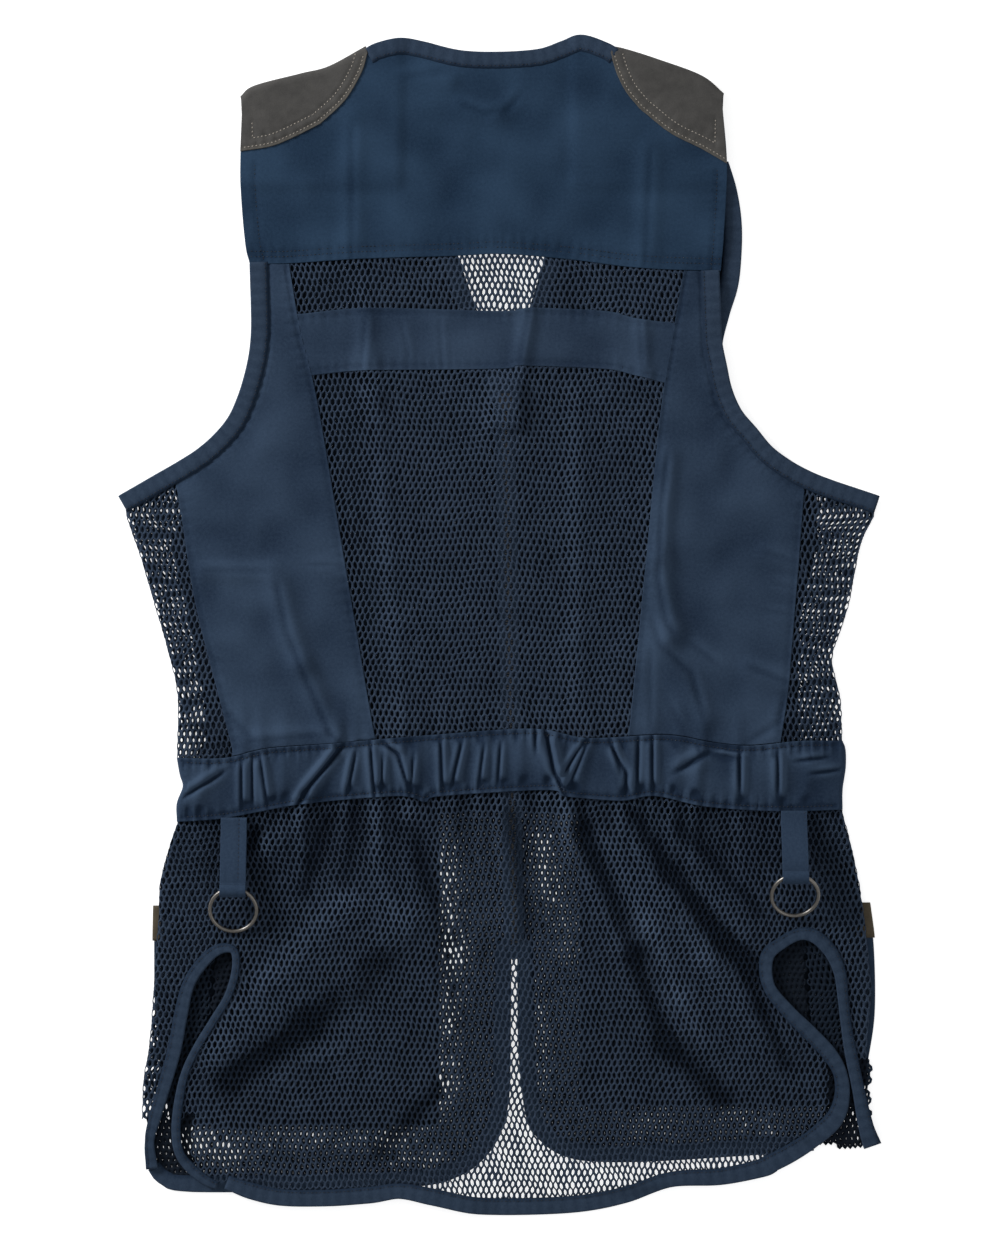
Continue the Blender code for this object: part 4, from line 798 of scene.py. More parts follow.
def waist_edge(crossing, x):
    """Y of one edge of the waist's casing, held level past the edge's two ends."""
    return at_width(crossing, np.clip(x, crossing[0][0], crossing[-1][0]))


def front_seam_x(side, y):
    """X of the hidden seam where the side's cloth meets the front."""
    knots = np.array(FRONT_SEAM[side][::-1], float)
    return np.interp(y, knots[:, 1], knots[:, 0])


def flat_limit(x, y):
    """How far from the middle the back stays flat at each place, mm."""
    folds = [np.abs(np.interp(y, FOLD_LINE[side][:, 1], FOLD_LINE[side][:, 0])) for side in SIDES]
    return np.where(x < 0.0, *folds) - FOLD_MARGIN - FOLD_REACH


def fold_arc(x, y, above, below):
    """Half height and length of the half round at the fold: pi * sqrt((reach^2 + half^2) / 2)."""
    edge = np.sign(x) * flat_limit(x, y)
    half = 0.5 * (back_face(edge, y) + above - front_face(edge, y) - below)
    return half, pi * np.sqrt(0.5 * (FOLD_REACH**2 + half**2))


def lay(x, y, above, below):
    """Points of flat cloth laid on the back, round the fold and on under the front."""
    sign = np.where(x < 0.0, -1.0, 1.0)
    flat = flat_limit(x, y)
    half, arc = fold_arc(x, y, above, below)
    turn = np.clip((np.abs(x) - flat) / arc, 0.0, 1.0) * pi
    beyond = np.maximum(np.abs(x) - flat - arc, 0.0)
    place = sign * (np.minimum(np.abs(x), flat) + FOLD_REACH * np.sin(turn) - beyond)
    high = back_face(sign * np.minimum(np.abs(x), flat), y) + above
    low = front_face(sign * (flat - beyond), y) + below
    height = 0.5 * (high + low) + 0.5 * (high - low) * np.cos(turn)
    return np.stack([place, y + 0.0 * place, height], axis=-1)


def unrolled(side, front_x, y, above, below):
    """Flat place of a point that ends on the front layer at front_x."""
    sign = SIDES[side] + 0.0 * y
    flat = flat_limit(sign, y)
    return sign * (2 * flat + fold_arc(sign, y, above, below)[1] - np.abs(front_x))


print("left side at the waist, mm:", round(float(flat_limit(-1.0, -98.0)), 1))

# %% [markdown]
# A seam pulls the cloth down along its thread and makes small puckers across it. The puckers
# fade within a finger's width, and their spacing wanders.

# %% Seams in the cloth
PUCKER_PITCH = 6.5


def seam_relief(x, y, seams, depth=0.5, pucker=0.25):
    """Trough exp(-(d/1.5)^2) under each thread and waves along it that fade as exp(-(d/6)^2)."""
    relief = np.zeros(np.broadcast(x, y).shape)
    for number, seam in enumerate(seams):
        samples = walk(seam, np.linspace(0.0, 1.0, max(8, int(length_of(seam) / 2.0))))
        away = np.full(relief.shape, 1e9)
        along = np.zeros(relief.shape)
        for index, (sx, sy) in enumerate(samples[:, :2]):
            distance = np.hypot(x - sx, y - sy)
            closer = distance < away
            away = np.where(closer, distance, away)
            along = np.where(closer, index * 2.0, along)
        waves = np.sin(2 * pi * along / PUCKER_PITCH + 2.6 * np.sin(along / 13.0 + number))
        waves = waves * (0.55 + 0.45 * np.sin(along / 29.0 + 2.0 * number))
        relief = relief - depth * np.exp(-((away / 1.5) ** 2)) + pucker * waves * np.exp(-((away / 6.0) ** 2))
    return relief


# %% [markdown]
# A piece of cloth starts as its middle surface, a grid of points. Each point is moved out and
# in along the surface's normal by half the cloth's thickness, and a rim joins the two faces.
# Sheets that share a row of points are welded, so a piece can run over a shoulder in one mesh.

# %% Cloth meshes
RIM = (0.25, 0.7)


def settle(piece, body, node=None):
    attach(piece, body)
    if node:
        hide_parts(node)


def settle_sheet(piece, node):
    """Settle a sheet of the vest on the vest's body, and hide the solid it replaces."""
    settle(piece, "vest", node)


def put(name, points, faces, material, uv, carried=()):
    """Object from arrays of points and faces, with a UV map in metres and carried values."""
    mesh = bpy.data.meshes.new(name)
    corners = faces.reshape(-1)
    mesh.vertices.add(len(points))
    mesh.vertices.foreach_set("co", metres(points).astype(np.float32).ravel())
    mesh.loops.add(len(corners))
    mesh.loops.foreach_set("vertex_index", corners.astype(np.int32))
    mesh.polygons.add(len(faces))
    starts = np.arange(len(faces)) * faces.shape[1]
    mesh.polygons.foreach_set("loop_start", starts.astype(np.int32))
    mesh.polygons.foreach_set("use_smooth", np.ones(len(faces), bool))
    mesh.update(calc_edges=True)
    layer = mesh.uv_layers.new(name="cloth")
    layer.data.foreach_set("uv", (np.asarray(uv)[corners] * MM).astype(np.float32).ravel())
    for label, values in carried:
        carrier = mesh.attributes.new(label, "FLOAT", "POINT")
        carrier.data.foreach_set("value", np.asarray(values, np.float32))
    mesh.materials.append(material)
    piece = bpy.data.objects.new(name, mesh)
    bpy.context.collection.objects.link(piece)
    return piece


def normals(points, quads):
    """Unit normals at points: the sum of the crossed diagonals of the faces round each."""
    across = np.cross(points[quads[:, 2]] - points[quads[:, 0]], points[quads[:, 3]] - points[quads[:, 1]])
    total = np.zeros_like(points)
    for corner in range(4):
        np.add.at(total, quads[:, corner], across)
    return total / np.maximum(np.linalg.norm(total, axis=1, keepdims=True), 1e-9), across


def cloth(name, sheets, material, wall, node):
    """Closed piece of a given wall from sheets (points, relief, flat places, nearness to an edge)."""
    middle, relief, flat, edge = [np.concatenate([s[k].reshape(-1, s[k].shape[2] if s[k].ndim == 3 else 1)
                                                  for s in sheets]) for k in range(4)]
    _, first, weld = np.unique(np.round(middle, 2), axis=0, return_index=True, return_inverse=True)
    weld = weld.reshape(-1)
    quads = []
    start = 0
    for sheet in sheets:
        rows, columns = sheet[0].shape[:2]
        index = weld[start:start + rows * columns].reshape(rows, columns)
        square = [index[:-1, :-1], index[:-1, 1:], index[1:, 1:], index[1:, :-1]]
        quads.append(np.stack(square, -1).reshape(-1, 4))
        start += rows * columns
    quads = np.concatenate(quads)
    middle = middle[first]
    count = len(first)
    normal, across = normals(middle, quads)
    sides = np.concatenate([quads[:, [k, (k + 1) % 4]] for k in range(4)])
    _, where, times = np.unique(np.sort(sides, axis=1), axis=0, return_index=True, return_counts=True)
    rim = sides[where[times == 1]]
    at_rim = np.zeros((count, 1))
    at_rim[rim.reshape(-1)] = 1.0
    outer = middle + normal * wall * (0.5 - 0.35 * at_rim)
    inner = middle - normal * wall * (0.5 - 0.15 * at_rim)
    walls = np.column_stack([rim[:, 1], rim[:, 0], rim[:, 0] + count, rim[:, 1] + count])
    faces = np.vstack([quads, quads[:, ::-1] + count, walls])
    near = np.tile(edge[first, 0], 2)
    # On pieces in painted shade, faces that look down take the navy edge tone and faces that look up keep the
    # painted shade.
    if material == INNER_COTTON_PAINTED_SHADE:
        near = np.where(np.concatenate([normal[:, 2], -normal[:, 2]]) < 0.0, 1.0, near)
    carried = [("relief", np.tile(relief[first, 0], 2)), ("edge", near)]
    piece = put(name, np.vstack([outer, inner]), faces, material, np.tile(flat[first], (2, 1)), carried)
    settle_sheet(piece, node)
    area = 0.5 * float(np.linalg.norm(across, axis=1).sum()) * MM**2
    print(name, len(faces), "faces, cloth of", round(area, 5), "m2")


def sheet_of(points, flat, relief=0.0, near=0.0):
    """Sheet as cloth() takes it: points, relief, flat places and nearness to an edge."""
    blank = np.zeros(points.shape[:2])
    return points, blank + relief, flat, blank + near


def stops(length, step):
    """Shares of a length at equal steps, with an extra stop near each end for a soft rim."""
    body = np.linspace(RIM[1], length - RIM[1], max(3, int(round(length / step))))
    return np.concatenate([[0.0, RIM[0]], body, [length - RIM[0], length]]) / length


def patch(bottom, top, left, right, step):
    """Grid inside four edges: the sum of the two straight blends less the blend of corners."""
    u = stops(max(length_of(bottom), length_of(top)), step)
    v = stops(max(length_of(left), length_of(right)), step)
    bottom, top = walk(bottom, u), walk(top, u)
    left, right = walk(left, v), walk(right, v)
    t = v[:, None]
    left = left + (1 - t) * (bottom[0] - left[0]) + t * (top[0] - left[-1])
    right = right + (1 - t) * (bottom[-1] - right[0]) + t * (top[-1] - right[-1])
    u = u[None, :, None]
    v = v[:, None, None]
    low = (1 - u) * bottom[0] + u * bottom[-1]
    high = (1 - u) * top[0] + u * top[-1]
    corners = (1 - v) * low + v * high
    return (1 - v) * bottom[None] + v * top[None] + (1 - u) * left[:, None] + u * right[:, None] - corners


def side_patch(side, bottom, top, outer, inner, step):
    """Patch whose outer edge is its left one on the left side and its right one on the right."""
    if side == "left":
        return patch(bottom, top, outer, inner, step)
    return patch(bottom[::-1], top[::-1], inner, outer, step)


# %% [markdown]
# Cloth of the back layer lies at a set height over its under face. The nets come first, the
# cotton lies over their edges, the suede lies on the cotton, and the bindings clasp them all.

# %% Sheets of the back layer
NET_LIFT = 0.65
COTTON_LIFT = 1.2
COTTON_WALL = 0.5
SUEDE_LIFT = 2.0
SUEDE_WALL = 0.9


def over_back(grid, seams=(), lift=COTTON_LIFT, extra=None, edge=0.0):
    """Sheet of the back layer at a height over it, with its seams' relief."""
    x, y = grid[..., 0], grid[..., 1]
    detail = seam_relief(x, y, seams)
    if extra is not None:
        detail = detail + extra(x, y)
    points = np.dstack([x, y, back_face(x, y) + lift + np.maximum(detail, -0.5)])
    # The relief also paints light and shade into the cotton's colour: paler on folds and puckers, darker in
    # troughs.
    return sheet_of(points, grid, detail + back_relief(x, y), edge)


STITCHES = {"navy thread": [], "tan thread": []}


def stitch_on_back(seam, seams, lift=COTTON_LIFT + COTTON_WALL / 2, extra=None, colour="navy thread"):
    """Keep a seam's line, put on the cloth, for the stitches that are made at the end."""
    points = over_back(seam[None], seams, lift, extra)[0][0]
    STITCHES[colour].append(points + [0.0, 0.0, 0.06])


def beside_row(curve, shift, ends=(0.0, 1.0)):
    """A row beside a curve, between two shares of its length."""
    return walk(curve + left_hand(curve) * shift, np.linspace(*ends, 160))


# %% [markdown]
# Over a shoulder the cloth goes on from the last row of a sheet. Its section is half an ellipse
# down to the front layer, and then runs on flat under the front.

# %% Turn over the shoulders
SHOULDER_STEPS = 12
SHOULDER_STEP = 2.5


def over_shoulder(row, fold, low, below, radius):
    """Sheet that goes on from a row of points, round a fold and on to a low line.

    The radius runs softly from the row's own distance to the given one as the turn goes on.
    """
    near = row[:, :2]
    away = near - fold
    first = np.linalg.norm(away, axis=1, keepdims=True)
    away = away / first
    under = low - fold
    under = under / np.linalg.norm(under, axis=1, keepdims=True)
    begin = fold + under * radius
    base = front_face(begin[:, 0], begin[:, 1]) + below
    points = []
    for turn in np.linspace(0.0, pi, SHOULDER_STEPS):
        share = 0.5 - 0.5 * np.cos(turn)
        way = away * (1 - share) + under * share
        xy = fold + way * (first * (1 - share) + radius * share) * (1 - np.sin(turn))
        points.append(np.column_stack([xy, row[:, 2] * (1 - share) + base * share]))
    count = max(4, int(np.linalg.norm(low - begin, axis=1).mean() / SHOULDER_STEP))
    for t in np.linspace(0.0, 1.0, count)[1:]:
        xy = begin * (1 - t) + low * t
        points.append(np.column_stack([xy, front_face(xy[:, 0], xy[:, 1]) + below]))
    points = np.stack(points)
    lengths = np.cumsum(np.linalg.norm(np.diff(points, axis=0, prepend=points[:1]), axis=2), axis=0)
    flat = near[None] - away[None] * lengths[..., None]
    return sheet_of(points, flat)


# %% [markdown]
# The back yoke is one piece of cotton that turns over both shoulders. Its lower edge has two
# rows of topstitching, and its sides one each.

# %% Back yoke
YOKE_STEP = 1.9
YOKE_BEND = 3.0
YOKE_BELOW = 0.3
YOKE_GAP = 1.8


def back_yoke():
    """Back yoke: a sheet on the back and a sheet over each shoulder, welded."""
    line_over = {"left": spline(SHOULDER["left"], 80), "right": spline(SHOULDER["right"], 80, (0.14, 1.0))}
    near = {side: line_over[side] + [SIDES[side] * -1.2, -YOKE_BEND - YOKE_GAP] for side in SIDES}
    neck = beside(NECK_TAPE, -3.0, 80)
    neck = neck[(neck[:, 0] > near["left"][-1, 0] + 4.0) & (neck[:, 0] < near["right"][0, 0] - 3.0)]
    top = np.vstack([near["left"], neck, near["right"]])
    bottom = spline(YOKE_BOTTOM)
    left = spline(YOKE_SIDE["left"][:-1] + [tuple(top[0])])
    right = spline(YOKE_SIDE["right"][:-1] + [tuple(top[-1])])
    seams = [beside_row(bottom, 4.6), beside_row(bottom, 8.0)]
    seams += [beside_row(left, -9.5, (0.0, 0.62)), beside_row(right, 6.5, (0.0, 0.6))]
    main = over_back(patch(bottom, top, left, right, YOKE_STEP), seams)
    row = main[0][-1]
    share = stops(max(length_of(bottom), length_of(top)), YOKE_STEP) * length_of(top)
    spans = {"left": share <= length_of(near["left"]),
             "right": share >= length_of(top) - length_of(near["right"])}
    sheets = [main]
    for side, held in spans.items():
        at = share[held] - share[held][0]
        at = at / at[-1]
        low = line(*YOKE_FRONT[side]) if side == "left" else line(*YOKE_FRONT[side][::-1])
        fold = line_over[side] + [SIDES[side] * -0.8, -YOKE_GAP]
        sheets.append(over_shoulder(row[held], walk(fold, at), walk(low, at), YOKE_BELOW, YOKE_BEND))
    for seam in seams:
        stitch_on_back(seam, seams)
    cloth("yoke_cotton", sheets, YOKE_COTTON, COTTON_WALL, "back_yoke")


back_yoke()

# %% [markdown]
# A suede patch lies on each shoulder, where the gun's butt rests. It is one thick soft layer
# with two rows of pale thread, and it is rubbed brown along its sewn edge.

# %% Shoulder patches
PATCH_STITCH = (2.2, 7.6)


def shoulder_patch(side):
    """Suede on the yoke, carried over the shoulder to the front."""
    shoulder = spline(SHOULDER[side])
    near = shoulder + [SIDES[side] * -1.2, -4.5]
    bottom = spline(PATCH_BOTTOM[side])
    outer_end, inner_end = (0, -1) if side == "left" else (-1, 0)
    outer = line(bottom[outer_end], near[outer_end], 40)
    inner = spline(PATCH_INNER[side][:-1] + [tuple(near[inner_end])])
    sewn = np.vstack([bottom, inner[1:]]) if side == "left" else np.vstack([bottom[::-1], inner[1:]])
    hand = 1.0 if side == "left" else -1.0
    seams = [beside_row(sewn, hand * shift, (0.02, 0.98)) for shift in PATCH_STITCH]
    seams[1] = seams[1][np.abs(seams[1][:, 0]) < abs(outer[0, 0]) - PATCH_STITCH[1]]
    seams.append(line(seams[1][0], [seams[1][0, 0] - 0.3 * hand, near[outer_end, 1] - 12.0], 40))
    edges = (outer, inner) if side == "left" else (inner, outer)
    grid = patch(bottom, near, *edges, 1.6)
    samples = walk(sewn, np.linspace(0.0, 1.0, 90))
    away = np.min(np.hypot(grid[..., :1] - samples[:, 0], grid[..., 1:] - samples[:, 1]), axis=-1)
    edge = np.exp(-((away / 2.6) ** 2))
    main = over_back(grid, seams, SUEDE_LIFT, edge=edge)
    row = main[0][-1]
    at = stops(max(length_of(bottom), length_of(near)), 1.6)
    low = walk(shoulder + [SIDES[side] * -2.0, -44.0], at)
    wrap = over_shoulder(row, walk(shoulder, at), low, 0.5 - 1.5, 4.5)
    for seam in seams:
        stitch_on_back(seam, seams, SUEDE_LIFT + SUEDE_WALL / 2, colour="tan thread")
    name = "suede_patch_" + side
    cloth(name, [main, wrap], GREY_SUEDE, SUEDE_WALL, "shoulder_patch_" + side)


for side in SIDES:
    shoulder_patch(side)

# %% [markdown]
# The band is a straight strip of cotton across the two nets. The side-back panels run from the
# yoke and the armhole down to the waist; their outer edge is partly armhole, partly seam.

# %% Band and side-back panels
PANEL_STEP = 1.8
TUCK = 3.0
SEAM_GAP = 0.3
BAND_UNDER = 0.7
BAND_STEP = 1.6
BAND_LIFT = COTTON_LIFT - 0.15


def band():
    """Cotton strip between the two nets, with a row of stitches along each long edge."""
    bottom, top = spline(BAND_BOTTOM), spline(BAND_TOP)
    for edge in (bottom, top):
        edge[0, 0] = at_height(NET_SEAM["left"], edge[0, 1]) - BAND_UNDER
        edge[-1, 0] = at_height(NET_SEAM["right"], edge[-1, 1]) + BAND_UNDER
    seams = [beside_row(bottom, 3.0, (0.01, 0.99)), beside_row(top, -3.0, (0.01, 0.99))]
    left, right = line(bottom[0], top[0], 20), line(bottom[-1], top[-1], 20)
    sheet = over_back(patch(bottom, top, left, right, BAND_STEP), seams, BAND_LIFT)
    cloth("band_cotton", [sheet], COTTON, COTTON_WALL, "back_band")


def side_back(side):
    """Side-back panel: armhole and seam on its outer edge, the net's seam on its inner edge."""
    turn = -SIDES[side]
    seam = spline(BACK_SEAM[side])
    hole = beside(ARMHOLE[side], turn * (TAPE - TUCK), 300)
    hole = hole[np.abs(hole[:, 0]) < abs(seam[0, 0]) - 1.0]
    outer = np.vstack([hole, seam])[::-1]
    inner = spline(NET_SEAM[side], 300)[::-1]
    for edge in (outer, inner):
        edge[0, 1] = at_width(WAIST_TOP, edge[0, 0]) + SEAM_GAP
        edge[-1, 1] = at_width(YOKE_BOTTOM, edge[-1, 0]) - SEAM_GAP
    bottom = line(outer[0], inner[0], 60)
    bottom[:, 1] = at_width(WAIST_TOP, bottom[:, 0]) + SEAM_GAP
    top = line(outer[-1], inner[-1], 60)
    top[:, 1] = at_width(YOKE_BOTTOM, top[:, 0]) - SEAM_GAP
    seams = [
        beside_row(spline(NET_SEAM[side]), SIDES[side] * 2.2),
        beside_row(seam, -SIDES[side] * 2.2, (0.05, 1.0)),
        beside(ARMHOLE[side], turn * (TAPE + 0.7), 300),
    ]
    sheet = over_back(side_patch(side, bottom, top, outer, inner, PANEL_STEP), seams)
    cloth("side_back_cotton_" + side, [sheet], COTTON, COTTON_WALL, "back_panel_" + side)


band()
for side in SIDES:
    side_back(side)

# %% [markdown]
# The waist is a casing with an elastic inside. The elastic gathers it into uneven pleats, and
# the sewing along its two edges holds each pleat's ends. One grid runs from front seam to front
# seam, round both sides.

# %% Gathered waist
WAIST_STEP = 1.1
DENT_ASIDE = 2.5
DENT_UP = 6.5


def pleats(x, y):
    """Creases inside the casing, and a dent where each gather meets the lower seam."""
    lift = 1.8 * creases(x, y, PLEATS, 0.5, 1.3)
    above = y - waist_edge(WAIST_BOTTOM, x)
    for top_x, bottom_x, height in GATHERS:
        foot = np.exp(-(((x - bottom_x - DENT_ASIDE) / 2.6) ** 2) - ((above - DENT_UP) / 3.2) ** 2)
        head = np.exp(-(((x - top_x + DENT_ASIDE) / 2.0) ** 2) - ((above - 36.0) / 3.0) ** 2)
        lift = lift - height * (1.2 * foot + 0.5 * head)
    return lift


def waist():
    """Casing laid out flat from one front seam to the other."""
    ends = [unrolled(side, front_seam_x(side, np.array([-98.0])), np.array([-98.0]), COTTON_LIFT, 0.65)[0]
            for side in SIDES]
    x = stops(ends[1] - ends[0], WAIST_STEP) * (ends[1] - ends[0]) + ends[0]
    share = stops(40.0, WAIST_STEP)[:, None]
    y = waist_edge(WAIST_BOTTOM, x) * (1 - share) + waist_edge(WAIST_TOP, x) * share
    x = x[None] + 0.0 * y
    seams = [spline(WAIST_TOP) + [0.0, -3.0], spline(WAIST_BOTTOM) + [0.0, 3.0]]
    detail = pleats(x, y) + seam_relief(x, y, seams, 0.7, 0.5)
    detail = np.where(np.abs(x) < flat_limit(x, y), np.maximum(detail, -2.2), 0.0)
    points = lay(x, y, COTTON_LIFT + 0.9 + detail, 0.65)
    # The relief, 1.7 times the pleats' detail plus the back's relief less 0.3, paints light on the pleats and
    # shade in their troughs, and darkens the casing a little all over.
    sheet = sheet_of(points, np.dstack([x, y]), 1.7 * detail + back_relief(x, y) - 0.3)
    for seam in seams:
        seam = walk(seam, np.linspace(0.015, 0.985, 300))
        stitch_on_back(seam, seams, COTTON_LIFT + 0.9 + COTTON_WALL / 2, pleats)
    cloth("waist_casing", [sheet], COTTON, COTTON_WALL, "waistband")


waist()

# %% [markdown]
# A net is knitted, and its holes stand like tall six-sided windows in staggered rows. Every hole
# is a cell: six corners on the strands' ridge, shared with the cells around, and six corners
# of the hole's own rim. The ridge is a little proud on both faces and the rim is where the two
# faces meet, so each strand is a soft lens, with 24 triangles to a cell.

# %% Net maker
NET_PITCH = 3.66
NET_ROW = 4.16
SIDE_CORNER = 1.2
HOLE = (0.98, 0.92, 2.35)
STRAND = 0.26
WAYS = np.array([0, 1, 1, 0, -1, -1])


def drift(x, y):
    """Slow drift of the knitting, which is never quite square."""
    across = 1.3 * np.sin(2 * pi * y / 97.0 + 0.7) + 0.6 * np.sin(2 * pi * (x + 2 * y) / 61.0)
    along = 0.9 * np.sin(2 * pi * x / 83.0 + 1.9) + 0.4 * np.sin(2 * pi * (x - y) / 47.0)
    across = across + 0.25 * np.sin(2 * pi * y / 13.0 + 3.0 * np.sin(x / 11.0))
    along = along + 0.3 * np.sin(2 * pi * x / 17.0 + 3.0 * np.sin(y / 12.0))
    return x + across, y + along


def facing(surface, x, y):
    """Points of a surface and its unit normals, from steps of 0.05 mm along x and y."""
    small = 0.05
    along_x = surface(x + small, y) - surface(x - small, y)
    along_y = surface(x, y + small) - surface(x, y - small)
    normal = np.cross(along_x, along_y)
    return surface(x, y), normal / np.maximum(np.linalg.norm(normal, axis=-1, keepdims=True), 1e-9)


def fold_tone(x, y):
    """How much the folds catch light: a ridge's crown is pale and the valleys beside it are deep."""
    draped = 0.75 * ridges(x, y, CROWNS) - 1.25 * ridges(x, y, VALLEYS)
    waist = smooth(-190.0, -130.0, y) * smooth(-55.0, -75.0, y)
    return (draped + 0.1 * ridges(x, y, FOLDS) + 0.3 * (gather_lift(x, y) - 1.2 * waist)) * inner_share(x)


def net(name, box, inside, surface, material, node, tight, seed, spread=0.1):
    """Net of staggered six-sided holes, kept where inside(x, y) is true.

    Each hole's size is tight(x, y) times a chance number round 1 with the given spread.
    """
    (low_x, low_y), (high_x, high_y) = box
    i, j = np.meshgrid(np.arange(int(low_x / NET_PITCH) - 2, int(high_x / NET_PITCH) + 3),
                       np.arange(int(low_y / NET_ROW) - 2, int(high_y / NET_ROW) + 3))
    column, row = (2 * i + (j & 1)).ravel(), j.ravel()
    x, y = drift(column * NET_PITCH / 2, row * NET_ROW)
    kept = inside(x, y)
    column, row = column[kept], row[kept]
    keys_x = column[:, None] + WAYS
    keys_y = 2 * row[:, None] + np.array([2, 1, 0, -1, 0, 1])
    keys, weld = np.unique(np.column_stack([keys_x.ravel(), keys_y.ravel()]), axis=0, return_inverse=True)
    corner = weld.reshape(-1, 6)
    level = keys[:, 1] // 2 * NET_ROW + np.where(keys[:, 1] % 2 == 1, SIDE_CORNER, -SIDE_CORNER)
    ridge, normal = facing(surface, *drift(keys[:, 0] * NET_PITCH / 2, level))
    chance = np.random.default_rng(seed)
    open_share = tight(x[kept], y[kept]) * (1.0 + spread * chance.standard_normal(len(column)))
    open_share = np.clip(open_share, 0.02, 1.12)[:, None]
    rim_x = column[:, None] * NET_PITCH / 2 + HOLE[0] * WAYS * open_share
    rise = np.array([HOLE[2], HOLE[1], -HOLE[1], -HOLE[2], -HOLE[1], HOLE[1]])
    rim_y = row[:, None] * NET_ROW + rise * (0.25 + 0.75 * open_share)
    rim = surface(*drift(rim_x, rim_y)).reshape(-1, 3)
    count = len(ridge)
    points = np.vstack([ridge + normal * STRAND, ridge - normal * STRAND, rim])
    hole = 2 * count + np.arange(len(column) * 6).reshape(-1, 6)
    after = np.roll(corner, -1, axis=1)
    hole_after = np.roll(hole, -1, axis=1)
    top = np.stack([after, corner, hole, hole_after], axis=-1).reshape(-1, 4)
    under = np.stack([corner + count, after + count, hole_after, hole], axis=-1).reshape(-1, 4)
    sides = np.stack([corner, after], axis=-1).reshape(-1, 2)
    _, where, times = np.unique(np.sort(sides, axis=1), axis=0, return_index=True, return_counts=True)
    rim_sides = sides[where[times == 1]]
    walls = np.column_stack([rim_sides, rim_sides[:, ::-1] + count])
    faces = np.vstack([top, under, walls])
    flat = np.column_stack(drift(keys[:, 0] * NET_PITCH / 2, level))
    uv = np.vstack([flat, flat, np.column_stack([rim_x.ravel(), rim_y.ravel()])])
    # Painted shade: past the side fold the back's net takes its darker under tone; the front net takes its
    # navy only on its strands' down face and keeps painted shade elsewhere.
    under = smooth(1.0, 2.5, (np.abs(uv[:, 0]) - flat_limit(uv[:, 0], uv[:, 1])) / FOLD_REACH)
    if material == FRONT_NET_PAINTED_SHADE:
        under[count:2 * count] = 1.0
    carried = [("edge", under), ("relief", fold_tone(uv[:, 0], uv[:, 1]))]
    piece = put(name, points, faces, material, uv, carried)
    settle_sheet(piece, node)
    area = 0.25 * float(np.linalg.norm(normals(points, faces)[1], axis=1).sum()) * MM**2
    print(name, len(column), "holes,", 2 * len(faces), "triangles, threads of", round(area, 5), "m2")


# %% [markdown]
# The two nets in the middle of the back end under the cotton around them. Right of the ridge
# that runs down the middle net the knitting is drawn together, and its holes are smaller.

# %% Nets in the middle of the back


def net_surface(x, y):
    """Net laid on the back and round the sides."""
    return lay(x, y, NET_LIFT, 1.25)


def between_seams(low, high):
    """Test for places between two crossing curves and the two net seams, and a little under them."""
    def inside(x, y):
        held = (y > at_width(low, x) - TUCK) & (y < at_width(high, x) + TUCK)
        inside = (x > at_height(NET_SEAM["left"], y) - TUCK) & (x < at_height(NET_SEAM["right"], y) + TUCK)
        return held & inside
    return inside


def drawn(x, y):
    """Smaller holes right of the left ridge."""
    return 0.96 - 0.16 * smooth(-88.0, -76.0, x)


def wrapped(x, y):
    """Smaller holes in the half of a net that lies folded under the front."""
    return 0.93 - 0.4 * (np.abs(x) > flat_limit(x, y) + 2.0 * FOLD_REACH)


net("upper_net", ((-140, 195), (125, 245)), between_seams(BAND_TOP, YOKE_BOTTOM), net_surface, NET,
    "back_upper_net", drawn, 2)
net("middle_net", ((-140, -80), (125, 172)), between_seams(WAIST_TOP, BAND_BOTTOM), net_surface, NET,
    "back_center_net", drawn, 3)

# %% [markdown]
# The side nets run from the side-back panel round the fold to the front. Their top edge is
# clasped by the armhole's binding on both layers, so the test for the edge is made on the laid
# points and not on the flat ones.

# %% Side nets


def side_net(side):
    """Net between the side-back panel, the armhole, the waist and the hidden front seam."""
    sign = SIDES[side]
    back_hole = beside(ARMHOLE[side], -sign * (TAPE - TUCK), 400)
    front_hole = beside(FRONT_ARMHOLE[side], -sign * (TAPE - TUCK), 400)
    curves = [np.abs(curve)[np.argsort(np.abs(curve[:, 0]))] for curve in (back_hole, front_hole)]

    def inside(x, y):
        laid = net_surface(x, y)
        out = np.abs(laid[..., 0])
        on_back = np.abs(x) < flat_limit(x, y) + 0.5 * FOLD_REACH
        limit = np.where(on_back, *[np.interp(out, curve[:, 0], curve[:, 1]) for curve in curves])
        seam = np.where(on_back, np.abs(at_height(BACK_SEAM[side], y)), np.abs(front_seam_x(side, y)))
        waist = waist_edge(WAIST_TOP, laid[..., 0])
        return (x * sign > 0) & (out > seam - TUCK) & (y < limit) & (y > waist - TUCK)

    reach = (sign * 150.0, sign * 320.0)
    box = ((min(reach), -95.0), (max(reach), 110.0))
    net("side_net_threads_" + side, box, inside, net_surface, NET, "side_net_" + side, wrapped, 5, 0.15)


for side in SIDES:
    side_net(side)

# %% [markdown]
# The lower net hangs from the waist and has a vent near each side. It is laid out flat as a
# whole; what lies inside a vent's outline or past the hem's line is left out.

# %% Lower net


def within(outline, x, y):
    """True inside a closed outline: a ray to the right crosses it an odd number of times."""
    near, far = outline, np.roll(outline, -1, axis=0)
    x, y = np.asarray(x)[..., None], np.asarray(y)[..., None]
    rise = np.where(far[:, 1] == near[:, 1], 1e-9, far[:, 1] - near[:, 1])
    crossed = (near[:, 1] > y) != (far[:, 1] > y)
    return (crossed & (x < near[:, 0] + (y - near[:, 1]) / rise * (far[:, 0] - near[:, 0]))).sum(-1) % 2 == 1


